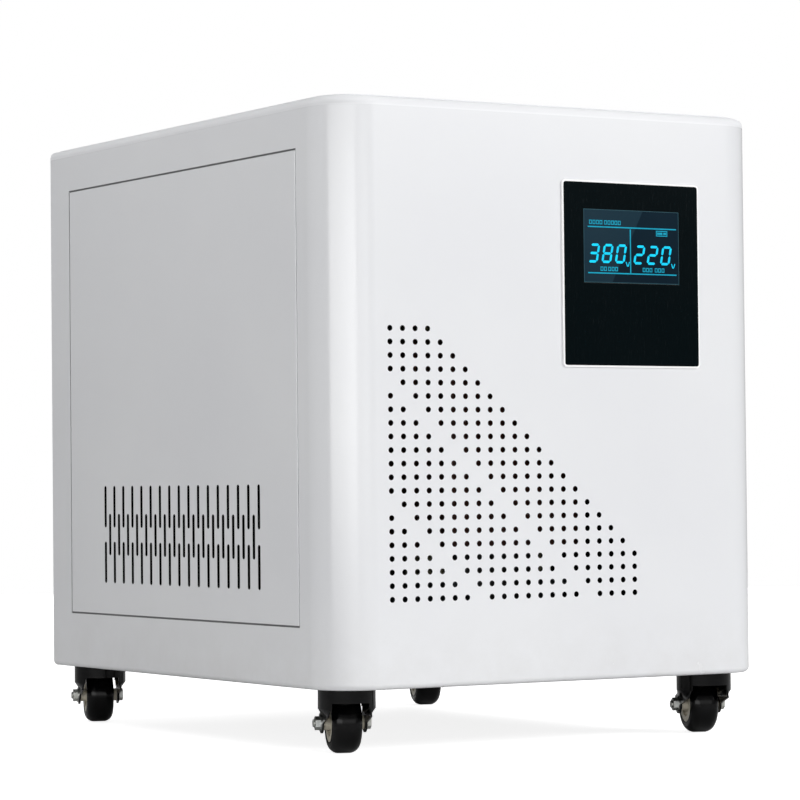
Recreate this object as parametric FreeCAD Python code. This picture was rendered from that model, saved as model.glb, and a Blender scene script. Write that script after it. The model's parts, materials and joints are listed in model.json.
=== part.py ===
import FreeCAD, Part
import math
import os

# Three-phase dry-type transformer in a sheet-steel cabinet on four swivel casters.
# Millimetres. X runs to the right seen from the front, Y to the back and Z up.
# The floor is Z = 0, and the origin is on it, under the middle of the whole object.

V = FreeCAD.Vector
ORIGIN = V(0, 0, 0)
RIGHT = V(1, 0, 0)
BACK = V(0, 1, 0)
UP = V(0, 0, 1)
DOWN = V(0, 0, -1)

# Cabinet
cabinet_width = 568.0
cabinet_depth = 688.0
cabinet_height = 630.0
sheet = 1.5
corner_radius = 54.0
top_roll = 8.0
bottom_roll = 6.0
top_return = 22.0
bottom_return = 9.0
seat_gap = 0.3
lid_inset = 12.0

# Flush side panels, measured from the cabinet's front face and bottom edge
panel_front = 78.0
panel_length = 557.0
panel_sill = 67.0
panel_height = 509.0
panel_gap = 2.0
ledge_lap = 14.0
ledge_weld = 6.0
stud_radius = 2.5
stud_length = 11.0
stud_clearance = 0.3
stud_nut_height = 4.0
stud_nut_flats = 8.0
studs_per_row = 3

# Staggered slots in the side panels
slot_width = 4.5
slot_length = 48.0
slot_pitch = 23.6
slots_per_row = 17
slot_front_margin = 86.0
slot_row_pitch = 33.0
slot_lowest_row = 61.0

# Perforation of the front: a square grid cut off along a stepped diagonal
hole_diameter = 6.3
hole_pitch_x = 15.7
hole_pitch_z = 14.4
hole_grid = 21
hole_left_margin = 70.0
hole_bottom_margin = 95.0
stair_lead_holes = 3
plain_diagonals = (7, 16)

# Display on the front
display_width = 181.0
display_height = 202.0
display_thickness = 2.5
display_corner = 3.0
display_left = 293.0
display_drop = 82.0
window_width = 129.0
window_height = 81.0
window_top_margin = 29.5
window_recess = 0.3
window_gap = 0.2
window_depth = 10.0
cutout_gap = 2.0
board_thickness = 1.6
board_side_margin = 5.0
board_end_margin = 9.5
housing_wall = 2.0
housing_depth = 32.0
housing_flange = 9.0
housing_gap = 2.0
boss_radius = 3.5
boss_inset = 4.5
display_screw_radius = 1.5
display_screw_head_radius = 2.8
display_screw_head_height = 1.8
display_screw_grip = 8.0
screw_clearance = 0.1

# Screws of the lid and the rear panel
cover_screw_radius = 1.75
cover_screw_head_radius = 3.1
cover_screw_rim = 0.15
cover_screw_length = 9.0
cover_screw_inset = 17.0
cover_screws_per_side = 4
cover_screws_per_end = 3

# Rear panel
rear_flange = 23.0
rear_slots = 14
rear_slot_pitch = 16.0
rear_slot_length = 90.0
rear_slot_width = 5.0
rear_slot_drop = 150.0

# Cable glands and earth stud on the rear panel
gland_spacing = 120.0
gland_height = 110.0
gland_bore_radius = 14.0
gland_thread_radius = 20.0
gland_thread_length = 12.0
gland_flats = 48.0
gland_hex_height = 7.0
gland_neck_radius = 17.5
gland_neck_length = 12.0
gland_cap_radius = 22.5
gland_cap_nose = 7.0
gland_cap_round = 3.0
gland_flutes = 12
gland_flute_radius = 1.6
gland_locknut_flats = 50.0
gland_locknut_height = 6.0
gland_clearance = 0.1
earth_side = 190.0
earth_height = 70.0
earth_radius = 4.0
earth_reach = 22.0
earth_weld_radius = 6.0
earth_weld_height = 1.0

# Base
base_recess = 16.0
base_sheet = 3.0
base_flange = 25.0
base_slots = 9
base_slot_pitch = 28.0
base_slot_length = 200.0
base_slot_width = 10.0
rail_height = 30.0
rail_width = 50.0
rail_wall = 4.0
rail_side_gap = 20.0
rail_from_middle = 205.0

# Transformer, with its limbs in a row from front to back
limb_width = 80.0
limb_pitch = 180.0
core_stack = 90.0
yoke_height = 80.0
window_opening = 250.0
core_lift = 8.0
clamp_height = 60.0
clamp_flange = 40.0
clamp_wall = 5.0
clamp_overhang = 32.0
clamp_proud = 2.0
clamp_bolt_radius = 6.0
clamp_bolt_inset = 14.0
clamp_bolt_flats = 19.0
clamp_bolt_head = 8.0
clamp_bolt_tail = 2.0
limb_gap = 2.0
winding_thickness = 16.0
duct = 8.0
winding_end_gap = 8.0
winding_round = 6.0
block_width = 40.0
block_margin = 3.0
board_length = 420.0
board_width = 150.0
board_height = 12.0
terminal_offset = 55.0
terminal_radius = 4.0
terminal_height = 28.0
terminal_flats = 13.0
terminal_nut = 6.5
lead_width = 20.0
lead_thickness = 3.0
lead_overlap = 60.0
lead_end = 12.0

# Swivel casters, each drawn about its swivel axis with the wheel trailing to the back
caster_left_side = 42.0
caster_right_side = 54.0
caster_front = 50.0
caster_rear = 42.0
caster_rest_angle = -20.0
caster_trail = 22.0
caster_rise = 21.0
wheel_diameter = 65.0
wheel_width = 32.0
tread_half_width = 6.0
tread_drop = 6.5
wheel_core_radius = 20.5
wheel_core_inset = 0.25
wheel_rim = 6.0
web_recess = 7.0
hub_radius = 7.5
hub_side_gap = 0.4
plate_size = 56.0
plate_corner = 8.0
plate_thickness = 2.5
plate_hole_pitch = 42.0
plate_bolt_radius = 3.0
plate_bolt_flats = 10.0
plate_bolt_head = 4.0
plate_bolt_nut = 5.0
race_radius = 21.0
race_height = 4.5
race_wall = 2.5
race_flare = 1.0
king_pin_radius = 6.0
king_pin_head_radius = 10.0
king_pin_head_height = 3.0
fork_sheet = 2.0
crown_radius = 31.0
crown_skirt = 29.0
crown_round = 4.0
front_arch_rise = 6.0
cheek_half_angle = 45.0
fork_width = 49.0
fork_leg_rise = 8.5
fork_leg_front = -18.0
fork_leg_rear = 33.0
fork_tip_radius = 11.0
wheel_clearance = 2.5
arch_half_width = 20.0
axle_radius = 4.0
axle_flats = 13.0
axle_head_height = 5.3
axle_nut_height = 6.5
axle_tail = 2.0
running_clearance = 0.05
bolt_clearance = 0.2

# Places worked out from the sizes above
wheel_radius = wheel_diameter / 2
caster_height = wheel_diameter + caster_rise
bottom_z = caster_height - base_recess
top_z = bottom_z + cabinet_height
left_x = -cabinet_width / 2
right_x = cabinet_width / 2
gland_reach = gland_hex_height + gland_neck_length + gland_cap_nose
front_y = display_thickness - (display_thickness + cabinet_depth + gland_reach) / 2
rear_y = front_y + cabinet_depth
wrap_rear_y = rear_y - sheet
opening_y0 = front_y + panel_front - panel_gap
opening_y1 = opening_y0 + panel_length + 2 * panel_gap
opening_z0 = bottom_z + panel_sill - panel_gap
opening_z1 = opening_z0 + panel_height + 2 * panel_gap
display_x = left_x + display_left + display_width / 2
display_top_z = top_z - display_drop
window_z = display_top_z - window_top_margin - window_height / 2
board_y = front_y - display_thickness + window_recess + window_depth
board_half_width = window_width / 2 + board_side_margin
board_half_height = window_height / 2 + board_end_margin
base_top_z = caster_height + base_sheet
rail_top_z = base_top_z + rail_height
core_bottom_z = rail_top_z + core_lift
core_top_z = core_bottom_z + window_opening + 2 * yoke_height
core_length = 2 * limb_pitch + limb_width
core_y = (front_y + rear_y) / 2
clamp_web_x = core_stack / 2
upper_clamp_z = core_top_z + clamp_proud - clamp_height
winding_bottom_z = core_bottom_z + yoke_height + winding_end_gap
winding_top_z = core_top_z - yoke_height - winding_end_gap
terminal_board_top = core_top_z + clamp_proud + board_height
tyre_side_radius = wheel_radius - tread_drop
fork_top_z = caster_height - plate_thickness - race_height - seat_gap
skirt_z = fork_top_z - crown_skirt
fork_leg_top = wheel_radius + fork_leg_rise
fork_inner_x = fork_width / 2 - fork_sheet


def box(x0, x1, y0, y1, z0, z1):
    return Part.makeBox(x1 - x0, y1 - y0, z1 - z0, V(x0, y0, z0))


def rod(start, axis, radius, length):
    return Part.makeCylinder(radius, length, start, axis)


def hexagon(start, axis, flats, height):
    """Six-sided bar from start along axis."""
    corner = flats / 2 / math.cos(math.pi / 6)
    points = [V(corner * math.cos(i * math.pi / 3), corner * math.sin(i * math.pi / 3), 0) for i in range(7)]
    bar = Part.Face(Part.makePolygon(points)).extrude(V(0, 0, height))
    bar.Placement = FreeCAD.Placement(start, FreeCAD.Rotation(UP, axis))
    return bar


def nut(start, axis, flats, height, bore):
    return hexagon(start, axis, flats, height).cut(rod(start, axis, bore, height))


def revolved(points, axis):
    """Solid of a closed outline turned about an axis through the origin."""
    return Part.Face(Part.makePolygon(points + [points[0]])).revolve(ORIGIN, axis, 360)


def rounded_prism(x0, x1, z0, z1, radius, y0, y1):
    """Plate in an upright plane with round corners, from y0 to y1."""
    plate = box(x0, x1, y0, y1, z0, z1)
    corners = [edge for edge in plate.Edges if abs(edge.tangentAt(edge.FirstParameter).y) > 0.5]
    return plate.makeFillet(radius, corners)


def slot_tool(centre, along, depth, width, length):
    """Round-ended slot cutter: centre on its start face, along the slot, depth through the sheet."""
    half = (length - width) / 2
    across = depth.cross(along).normalize() * (width / 2)
    tip = along * (width / 2)
    low = centre - along * half
    high = centre + along * half
    outline = [
        Part.makeLine(low + across, high + across),
        Part.Arc(high + across, high + tip, high - across).toShape(),
        Part.makeLine(high - across, low - across),
        Part.Arc(low - across, low - tip, low + across).toShape(),
    ]
    return Part.Face(Part.Wire(outline)).extrude(depth)


def mirrored(shape):
    return shape.mirror(ORIGIN, RIGHT)


def spread(first, last, count):
    """Evenly spaced values from first to last."""
    return [first + (last - first) * i / (count - 1) for i in range(count)]


def centred(count, pitch):
    """Values at an even pitch about zero."""
    return [(i - (count - 1) / 2) * pitch for i in range(count)]


def write(name, solids):
    shape = solids[0] if len(solids) == 1 else Part.makeCompound(solids)
    shape.exportStep("parts/" + name + ".step")


def footprint(inset, rear, z0, z1):
    """Prism of the cabinet's plan, inset from its faces, with the round front corners."""
    radius = corner_radius - inset
    x0 = left_x + inset
    x1 = right_x - inset
    y0 = front_y + inset
    tip = radius * (1 - math.cos(math.pi / 4))
    outline = [
        Part.makeLine(V(x0, rear, z0), V(x0, y0 + radius, z0)),
        Part.Arc(V(x0, y0 + radius, z0), V(x0 + tip, y0 + tip, z0), V(x0 + radius, y0, z0)).toShape(),
        Part.makeLine(V(x0 + radius, y0, z0), V(x1 - radius, y0, z0)),
        Part.Arc(V(x1 - radius, y0, z0), V(x1 - tip, y0 + tip, z0), V(x1, y0 + radius, z0)).toShape(),
        Part.makeLine(V(x1, y0 + radius, z0), V(x1, rear, z0)),
        Part.makeLine(V(x1, rear, z0), V(x0, rear, z0)),
    ]
    return Part.Face(Part.Wire(outline)).extrude(V(0, 0, z1 - z0))


def rolled_block(inset, rear, top_radius, bottom_radius):
    """Plan prism with its front and side edges rolled over at the top and the bottom."""
    block = footprint(inset, rear, bottom_z + inset, top_z - inset)
    for level, radius in ((top_z - inset, top_radius), (bottom_z + inset, bottom_radius)):
        rim = [edge for edge in block.Edges if all(abs(v.Point.z - level) < 0.01 for v in edge.Vertexes)]
        rim = [edge for edge in rim if edge.CenterOfMass.y < rear - 0.01]
        block = block.makeFillet(radius, rim)
    return block


def panel_stud_points():
    """Stud centres on the ledge round a side opening."""
    near = ledge_lap / 2
    along = spread(opening_y0 + near, opening_y1 - near, studs_per_row)
    return [(y, z) for y in along for z in (opening_z0 + near, opening_z1 - near)]


def lid_screw_points():
    """Screw centres on the returns that carry the lid."""
    near = cover_screw_inset
    side_y = spread(front_y + corner_radius + near, rear_y - 3 * near, cover_screws_per_side)
    end_x = spread(left_x + corner_radius + near, right_x - corner_radius - near, cover_screws_per_end)
    points = [(x, y) for y in side_y for x in (left_x + near, right_x - near)]
    return points + [(x, y) for x in end_x for y in (front_y + near, rear_y - near)]


def rear_screw_points():
    """Screw centres on the upright returns behind the rear panel."""
    near = cover_screw_inset
    heights = spread(bottom_z + 2 * near, top_z - 2 * near, cover_screws_per_side)
    return [(x, z) for z in heights for x in (left_x + near, right_x - near)]


def display_flange_points():
    """Screw centres in the flange of the display housing."""
    reach_x = board_half_width + housing_gap + housing_wall + housing_flange / 2
    reach_z = board_half_height + housing_gap + housing_wall + housing_flange / 2
    return [(display_x + i * reach_x, window_z + j * reach_z) for i in (-1, 1) for j in (-1, 1)]


def board_screw_points():
    reach_x = board_half_width - boss_inset
    reach_z = board_half_height - boss_inset
    return [(display_x + i * reach_x, window_z + j * reach_z) for i in (-1, 1) for j in (-1, 1)]


def gland_points():
    return [(x, bottom_z + gland_height) for x in centred(2, gland_spacing)]


def perforation():
    """Punches of the front: every grid place on or below the stair, apart from two plain diagonals."""
    punches = []
    for row in range(hole_grid):
        for column in range(min(hole_grid, hole_grid + stair_lead_holes - row)):
            if row + column in plain_diagonals:
                continue
            x = left_x + hole_left_margin + column * hole_pitch_x
            z = bottom_z + hole_bottom_margin + row * hole_pitch_z
            punches.append(rod(V(x, front_y - sheet, z), BACK, hole_diameter / 2, 3 * sheet))
    return punches


def front_wrap():
    """One folded sheet: front, round corners and both sides, with its returns and joggled ledges."""
    outer = rolled_block(0, wrap_rear_y, top_roll, bottom_roll)
    inner = rolled_block(sheet, wrap_rear_y - sheet, top_roll - sheet, bottom_roll - sheet)
    wrap = outer.cut(inner)
    beyond = wrap_rear_y + sheet
    wrap = wrap.cut([
        footprint(top_return, beyond, top_z - 2 * sheet, top_z + sheet),
        footprint(bottom_return, beyond, bottom_z - sheet, bottom_z + 2 * sheet),
        box(left_x + top_return, right_x - top_return, wrap_rear_y - 2 * sheet, beyond,
            bottom_z - sheet, top_z + sheet),
    ])
    opening = box(left_x - sheet, left_x + 3 * sheet, opening_y0, opening_y1, opening_z0, opening_z1)
    ledge = box(left_x + sheet, left_x + 2 * sheet, opening_y0 - ledge_weld, opening_y1 + ledge_weld,
                opening_z0 - ledge_weld, opening_z1 + ledge_weld)
    ledge = ledge.cut(box(left_x, left_x + 3 * sheet, opening_y0 + ledge_lap, opening_y1 - ledge_lap,
                          opening_z0 + ledge_lap, opening_z1 - ledge_lap))
    ledge = ledge.cut([rod(V(left_x, y, z), RIGHT, stud_radius + stud_clearance, 3 * sheet)
                       for y, z in panel_stud_points()])
    wrap = wrap.cut([opening, mirrored(opening)])
    wrap = wrap.fuse([ledge, mirrored(ledge)])
    half_width = window_width / 2 + cutout_gap
    half_height = window_height / 2 + cutout_gap
    cuts = [box(display_x - half_width, display_x + half_width, front_y - sheet, front_y + 2 * sheet,
                window_z - half_height, window_z + half_height)]
    cuts += [rod(V(x, front_y - sheet, z), BACK, display_screw_radius + screw_clearance, 3 * sheet)
             for x, z in display_flange_points()]
    cuts += [cover_screw(V(x, y, top_z + sheet), UP, screw_clearance)
             for x, y in lid_screw_points() if y < rear_y - rear_flange]
    cuts += [cover_screw(V(x, rear_y, z), BACK, screw_clearance) for x, z in rear_screw_points()]
    return wrap.cut(cuts + perforation())


def wrap_lengths():
    """The wrap in the plain lengths that meet edge to edge: front, left wall, top rim and bottom rim."""
    wrap = front_wrap()
    low = bottom_z + bottom_roll
    high = top_z - top_roll
    bend_y = front_y + corner_radius
    return {
        "front_wrap": wrap.common(box(left_x, right_x, front_y, bend_y, low, high)),
        "left_wall": wrap.common(box(left_x, 0, bend_y, rear_y, low, high)),
        "top_rim": wrap.common(box(left_x, right_x, front_y, rear_y, high, top_z)),
        "bottom_rim": wrap.common(box(left_x, right_x, front_y, rear_y, bottom_z, low)),
    }


def side_panel():
    """Left flush panel with three staggered rows of slots."""
    y0 = opening_y0 + panel_gap
    z0 = opening_z0 + panel_gap
    panel = box(left_x, left_x + sheet, y0, y0 + panel_length, z0, z0 + panel_height)
    cuts = []
    for row in range(3):
        shift = slot_pitch / 2 * (row % 2)
        z = z0 + slot_lowest_row + row * slot_row_pitch
        for i in range(slots_per_row - row % 2):
            y = y0 + slot_front_margin + shift + i * slot_pitch
            cuts.append(slot_tool(V(left_x - sheet, y, z), UP, RIGHT * (3 * sheet), slot_width, slot_length))
    return panel.cut(cuts)


def panel_fixings():
    """Weld studs and nuts that hold the side panels from the inside."""
    solids = []
    for y, z in panel_stud_points():
        stud = rod(V(left_x + sheet, y, z), RIGHT, stud_radius, stud_length)
        ring = nut(V(left_x + 2 * sheet, y, z), RIGHT, stud_nut_flats, stud_nut_height,
                   stud_radius + running_clearance)
        solids += [stud, ring, mirrored(stud), mirrored(ring)]
    return solids


def top_lid():
    lid = footprint(lid_inset, rear_y - bottom_roll / 2, top_z, top_z + sheet)
    return lid.cut([cover_screw(V(x, y, top_z + sheet), UP, screw_clearance) for x, y in lid_screw_points()])


def rear_panel():
    """Flat rear sheet with slots and cable entries."""
    panel = box(left_x, right_x, wrap_rear_y, rear_y, bottom_z, top_z)
    corners = [edge for edge in panel.Edges if abs(edge.tangentAt(edge.FirstParameter).y) > 0.5]
    panel = panel.makeFillet(top_roll, [edge for edge in corners if edge.CenterOfMass.z > top_z - 1])
    corners = [edge for edge in panel.Edges if edge.CenterOfMass.z < bottom_z + 0.01
               and abs(edge.CenterOfMass.x) > right_x - 0.01]
    panel = panel.makeFillet(bottom_roll, corners)
    through = BACK * (4 * sheet)
    start = wrap_rear_y - sheet
    cuts = [slot_tool(V(x, start, top_z - rear_slot_drop), UP, through, rear_slot_width, rear_slot_length)
            for x in centred(rear_slots, rear_slot_pitch)]
    cuts += [rod(V(x, start, z), BACK, gland_thread_radius + gland_clearance, 4 * sheet)
             for x, z in gland_points()]
    cuts += [cover_screw(V(x, rear_y, z), BACK, screw_clearance) for x, z in rear_screw_points()]
    return panel.cut(cuts)


def rear_flanges():
    """Flange under the lid and flange over the floor edge, both welded on the rear sheet."""
    reach = right_x - top_return - sheet
    upper = box(-reach, reach, rear_y - rear_flange, wrap_rear_y, top_z - sheet, top_z)
    upper = upper.cut([cover_screw(V(x, y, top_z + sheet), UP, screw_clearance)
                       for x, y in lid_screw_points() if y > rear_y - rear_flange])
    lower = box(-reach, reach, rear_y - bottom_return, wrap_rear_y, bottom_z, bottom_z + sheet)
    return [upper, lower]


def cover_screw(face, outward, growth):
    """Countersunk screw with its face flush at the given point. A grown one cuts its hole and seat."""
    shank = cover_screw_radius + growth
    head = cover_screw_head_radius + growth
    screw = revolved([
        V(0, 0, growth),
        V(head, 0, growth),
        V(head, 0, -cover_screw_rim),
        V(shank, 0, shank - head - cover_screw_rim),
        V(shank, 0, -cover_screw_length),
        V(0, 0, -cover_screw_length),
    ], UP)
    screw.Placement = FreeCAD.Placement(face, FreeCAD.Rotation(UP, outward))
    return screw


def cover_screws():
    """Countersunk screws of the lid and the rear panel, flush with their faces."""
    screws = [cover_screw(V(x, y, top_z + sheet), UP, 0) for x, y in lid_screw_points()]
    return screws + [cover_screw(V(x, rear_y, z), BACK, 0) for x, z in rear_screw_points()]


def display_plate():
    """Dark fascia over the display, with its window aperture."""
    x0 = left_x + display_left
    z0 = display_top_z - display_height
    plate = rounded_prism(x0, x0 + display_width, z0, display_top_z, display_corner,
                          front_y - display_thickness, front_y)
    half_width = window_width / 2 + window_gap
    half_height = window_height / 2 + window_gap
    return plate.cut(box(display_x - half_width, display_x + half_width, front_y - 2 * display_thickness,
                         front_y + sheet, window_z - half_height, window_z + half_height))


def display_window():
    """Display module, whose face lies just below the fascia."""
    half_width = window_width / 2
    half_height = window_height / 2
    return box(display_x - half_width, display_x + half_width, board_y - window_depth, board_y,
               window_z - half_height, window_z + half_height)


def display_board():
    board = box(display_x - board_half_width, display_x + board_half_width, board_y, board_y + board_thickness,
                window_z - board_half_height, window_z + board_half_height)
    return board.cut([rod(V(x, board_y, z), BACK, display_screw_radius + screw_clearance, board_thickness)
                      for x, z in board_screw_points()])


def display_housing():
    """Box behind the front sheet, with a flange on the sheet and bosses that carry the board."""
    inner_x = board_half_width + housing_gap
    inner_z = board_half_height + housing_gap
    outer_x = inner_x + housing_wall
    outer_z = inner_z + housing_wall
    y0 = front_y + sheet
    y1 = y0 + housing_depth
    flange_x = outer_x + housing_flange
    flange_z = outer_z + housing_flange
    body = box(display_x - outer_x, display_x + outer_x, y0, y1, window_z - outer_z, window_z + outer_z)
    flange = box(display_x - flange_x, display_x + flange_x, y0, y0 + housing_wall,
                 window_z - flange_z, window_z + flange_z)
    hollow = box(display_x - inner_x, display_x + inner_x, y0, y1 - housing_wall,
                 window_z - inner_z, window_z + inner_z)
    housing = body.fuse(flange).cut(hollow)
    boss_y = board_y + board_thickness
    housing = housing.fuse([rod(V(x, boss_y, z), BACK, boss_radius, y1 - housing_wall - boss_y)
                            for x, z in board_screw_points()])
    cuts = [rod(V(x, y0, z), BACK, display_screw_radius + screw_clearance, housing_wall)
            for x, z in display_flange_points()]
    cuts += [rod(V(x, boss_y, z), BACK, display_screw_radius, display_screw_grip) for x, z in board_screw_points()]
    return housing.cut(cuts)


def display_screw(seat, direction, grip):
    """Screw whose head lies on seat against direction, with its shank along direction."""
    head = rod(seat, direction * -1, display_screw_head_radius, display_screw_head_height)
    return head.fuse(rod(seat, direction, display_screw_radius, grip))


def display_screws():
    flange_seat = front_y + sheet + housing_wall
    screws = [display_screw(V(x, flange_seat, z), BACK * -1, sheet + housing_wall)
              for x, z in display_flange_points()]
    return screws + [display_screw(V(x, board_y, z), BACK, display_screw_grip) for x, z in board_screw_points()]


def base_plate():
    """Floor sheet that carries the transformer and bolts down on the casters."""
    inset = sheet + seat_gap
    rear = wrap_rear_y - sheet - seat_gap
    plate = footprint(inset, rear, caster_height, base_top_z)
    flange = box(left_x + inset, left_x + inset + base_sheet, front_y + corner_radius, rear,
                 caster_height, caster_height + base_flange)
    plate = plate.fuse([flange, mirrored(flange)])
    through = UP * (3 * base_sheet)
    cuts = [slot_tool(V(x, core_y, caster_height - base_sheet), BACK, through, base_slot_width, base_slot_length)
            for x in centred(base_slots, base_slot_pitch)]
    cuts += [rod(point, UP, plate_bolt_radius + bolt_clearance, 3 * base_sheet)
             for point in caster_bolt_points(caster_height - base_sheet)]
    return plate.cut(cuts)


def base_rail(side):
    """Inverted channel across the floor under the lower clamps: side is -1 at the front, 1 at the rear."""
    y = core_y + side * rail_from_middle
    reach = right_x - rail_side_gap
    rail = box(-reach, reach, y - rail_width / 2, y + rail_width / 2, base_top_z, rail_top_z)
    hollow = rail_width / 2 - rail_wall
    return rail.cut(box(-reach, reach, y - hollow, y + hollow, base_top_z, rail_top_z - rail_wall))


def gland_body(x, z):
    """Threaded stub through the rear panel, hexagon outside it and neck under the cap."""
    stub = rod(V(x, rear_y - gland_thread_length, z), BACK, gland_thread_radius, gland_thread_length)
    neck_length = gland_hex_height + gland_neck_length
    neck = rod(V(x, rear_y, z), BACK, gland_neck_radius, neck_length)
    body = hexagon(V(x, rear_y, z), BACK, gland_flats, gland_hex_height).fuse([stub, neck])
    bore_length = gland_thread_length + neck_length
    return body.cut(rod(V(x, rear_y - gland_thread_length, z), BACK, gland_bore_radius, bore_length))


def gland_nut(x, z):
    """Fluted cap over the neck, open at its nose for the cable."""
    start = rear_y + gland_hex_height
    length = gland_neck_length + gland_cap_nose
    cap = rod(V(x, start, z), BACK, gland_cap_radius, length)
    nose = [edge for edge in cap.Edges if edge.Closed and edge.CenterOfMass.y > start + 1]
    cap = cap.makeFillet(gland_cap_round, nose)
    cuts = [rod(V(x, start, z), BACK, gland_neck_radius + gland_clearance, gland_neck_length),
            rod(V(x, start, z), BACK, gland_bore_radius, length)]
    for i in range(gland_flutes):
        angle = 2 * math.pi * i / gland_flutes
        centre = V(x + gland_cap_radius * math.cos(angle), start, z + gland_cap_radius * math.sin(angle))
        cuts.append(rod(centre, BACK, gland_flute_radius, length - gland_cap_round))
    return cap.cut(cuts)


def gland_locknuts():
    start = wrap_rear_y - gland_locknut_height
    return [nut(V(x, start, z), BACK, gland_locknut_flats, gland_locknut_height,
                gland_thread_radius + gland_clearance) for x, z in gland_points()]


def earth_stud():
    """Stud welded on the rear panel by its foot, free for a ring terminal."""
    foot = V(earth_side, rear_y, bottom_z + earth_height)
    return rod(foot, BACK, earth_weld_radius, earth_weld_height).fuse(rod(foot, BACK, earth_radius, earth_reach))


def core_stack_solid():
    """Three-limb stack of laminations with its two windows."""
    y0 = core_y - core_length / 2
    core = box(-clamp_web_x, clamp_web_x, y0, y0 + core_length, core_bottom_z, core_top_z)
    window_z0 = core_bottom_z + yoke_height
    gap = limb_pitch - limb_width
    cuts = [box(-core_stack, core_stack, y - gap / 2, y + gap / 2, window_z0, window_z0 + window_opening)
            for y in (core_y - limb_pitch / 2, core_y + limb_pitch / 2)]
    return core.cut(cuts)


def clamp_bolt_points():
    reach = core_length / 2 + clamp_bolt_inset
    levels = (rail_top_z + clamp_height / 2, upper_clamp_z + clamp_height / 2)
    return [(core_y + side * reach, z) for side in (-1, 1) for z in levels]


def clamp(z0):
    """Channel on the right of a yoke, with its web against the laminations."""
    reach = core_length / 2 + clamp_overhang
    outer = clamp_web_x + clamp_flange
    channel = box(clamp_web_x, outer, core_y - reach, core_y + reach, z0, z0 + clamp_height)
    channel = channel.cut(box(clamp_web_x + clamp_wall, outer, core_y - reach, core_y + reach,
                              z0 + clamp_wall, z0 + clamp_height - clamp_wall))
    return channel.cut([rod(V(0, y, z), RIGHT, clamp_bolt_radius + bolt_clearance, outer)
                        for y, z in clamp_bolt_points()])


def clamp_bolts():
    solids = []
    seat = clamp_web_x + clamp_wall
    left_end = seat + clamp_bolt_head + clamp_bolt_tail
    for y, z in clamp_bolt_points():
        shank = rod(V(-left_end, y, z), RIGHT, clamp_bolt_radius, left_end + seat)
        head = hexagon(V(seat, y, z), RIGHT, clamp_bolt_flats, clamp_bolt_head)
        ring = nut(V(-seat - clamp_bolt_head, y, z), RIGHT, clamp_bolt_flats, clamp_bolt_head,
                   clamp_bolt_radius + running_clearance)
        solids += [shank.fuse(head), ring]
    return solids


def winding(y, inner_gap):
    """Round-cornered coil about a limb, its inside inner_gap from the laminations."""
    blocks = []
    for gap in (inner_gap + winding_thickness, inner_gap):
        block = box(-clamp_web_x - gap, clamp_web_x + gap, y - limb_width / 2 - gap, y + limb_width / 2 + gap,
                    winding_bottom_z, winding_top_z)
        upright = [edge for edge in block.Edges if abs(edge.tangentAt(edge.FirstParameter).z) > 0.5]
        blocks.append(block.makeFillet(gap if gap < winding_round else winding_round, upright))
    return blocks[0].cut(blocks[1])


def coil_blocks():
    """Insulating blocks between the clamps' flanges and the ends of the coils."""
    x0 = clamp_web_x + limb_gap + block_margin
    x1 = clamp_web_x + clamp_flange
    solids = []
    for y in (core_y - limb_pitch, core_y, core_y + limb_pitch):
        for z0, z1 in ((rail_top_z + clamp_height, winding_bottom_z), (winding_top_z, upper_clamp_z)):
            block = box(x0, x1, y - block_width / 2, y + block_width / 2, z0, z1)
            solids += [block, mirrored(block)]
    return solids


def terminal_points():
    """Three terminals on each side of the board and one for the star point."""
    points = [(side * terminal_offset, core_y + i * limb_pitch) for side in (-1, 1) for i in (-1, 0, 1)]
    return points + [(terminal_offset, core_y + limb_pitch / 2)]


def terminal_board():
    board = box(-board_width / 2, board_width / 2, core_y - board_length / 2, core_y + board_length / 2,
                terminal_board_top - board_height, terminal_board_top)
    bore = terminal_radius + running_clearance
    return board.cut([rod(V(x, y, terminal_board_top - board_height / 2), UP, bore, board_height)
                      for x, y in terminal_points()])


def terminal_studs():
    """Studs screwed into the board, each with a nut below and above its lead."""
    solids = []
    for x, y in terminal_points():
        solids.append(rod(V(x, y, terminal_board_top - board_height / 2), UP, terminal_radius,
                          board_height / 2 + terminal_height))
        for z in (terminal_board_top, terminal_board_top + terminal_nut + lead_thickness):
            solids.append(nut(V(x, y, z), UP, terminal_flats, terminal_nut, terminal_radius + running_clearance))
    return solids


def winding_leads():
    """Flat bars from the outer coils up and in to the terminals."""
    face = clamp_web_x + limb_gap + 2 * winding_thickness + duct
    level = terminal_board_top + terminal_nut
    solids = []
    for i in (-1, 0, 1):
        y = core_y + i * limb_pitch
        y0 = y - lead_width / 2
        y1 = y + lead_width / 2
        rise = box(face, face + lead_thickness, y0, y1, winding_top_z - lead_overlap, level + lead_thickness)
        reach = box(terminal_offset - lead_end, face, y0, y1, level, level + lead_thickness)
        lead = rise.fuse(reach).cut(rod(V(terminal_offset, y, level), UP, terminal_radius + bolt_clearance,
                                        lead_thickness))
        solids += [lead, mirrored(lead)]
    return solids


def caster_places():
    """Name and swivel axis of each caster."""
    places = []
    for end, y in (("front", front_y + caster_front), ("rear", rear_y - caster_rear)):
        places.append((end + "_left", V(left_x + caster_left_side, y, 0)))
        places.append((end + "_right", V(right_x - caster_right_side, y, 0)))
    return places


def caster_bolt_points(z):
    half = plate_hole_pitch / 2
    return [place + V(i * half, j * half, z) for name, place in caster_places() for i in (-1, 1) for j in (-1, 1)]


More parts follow.
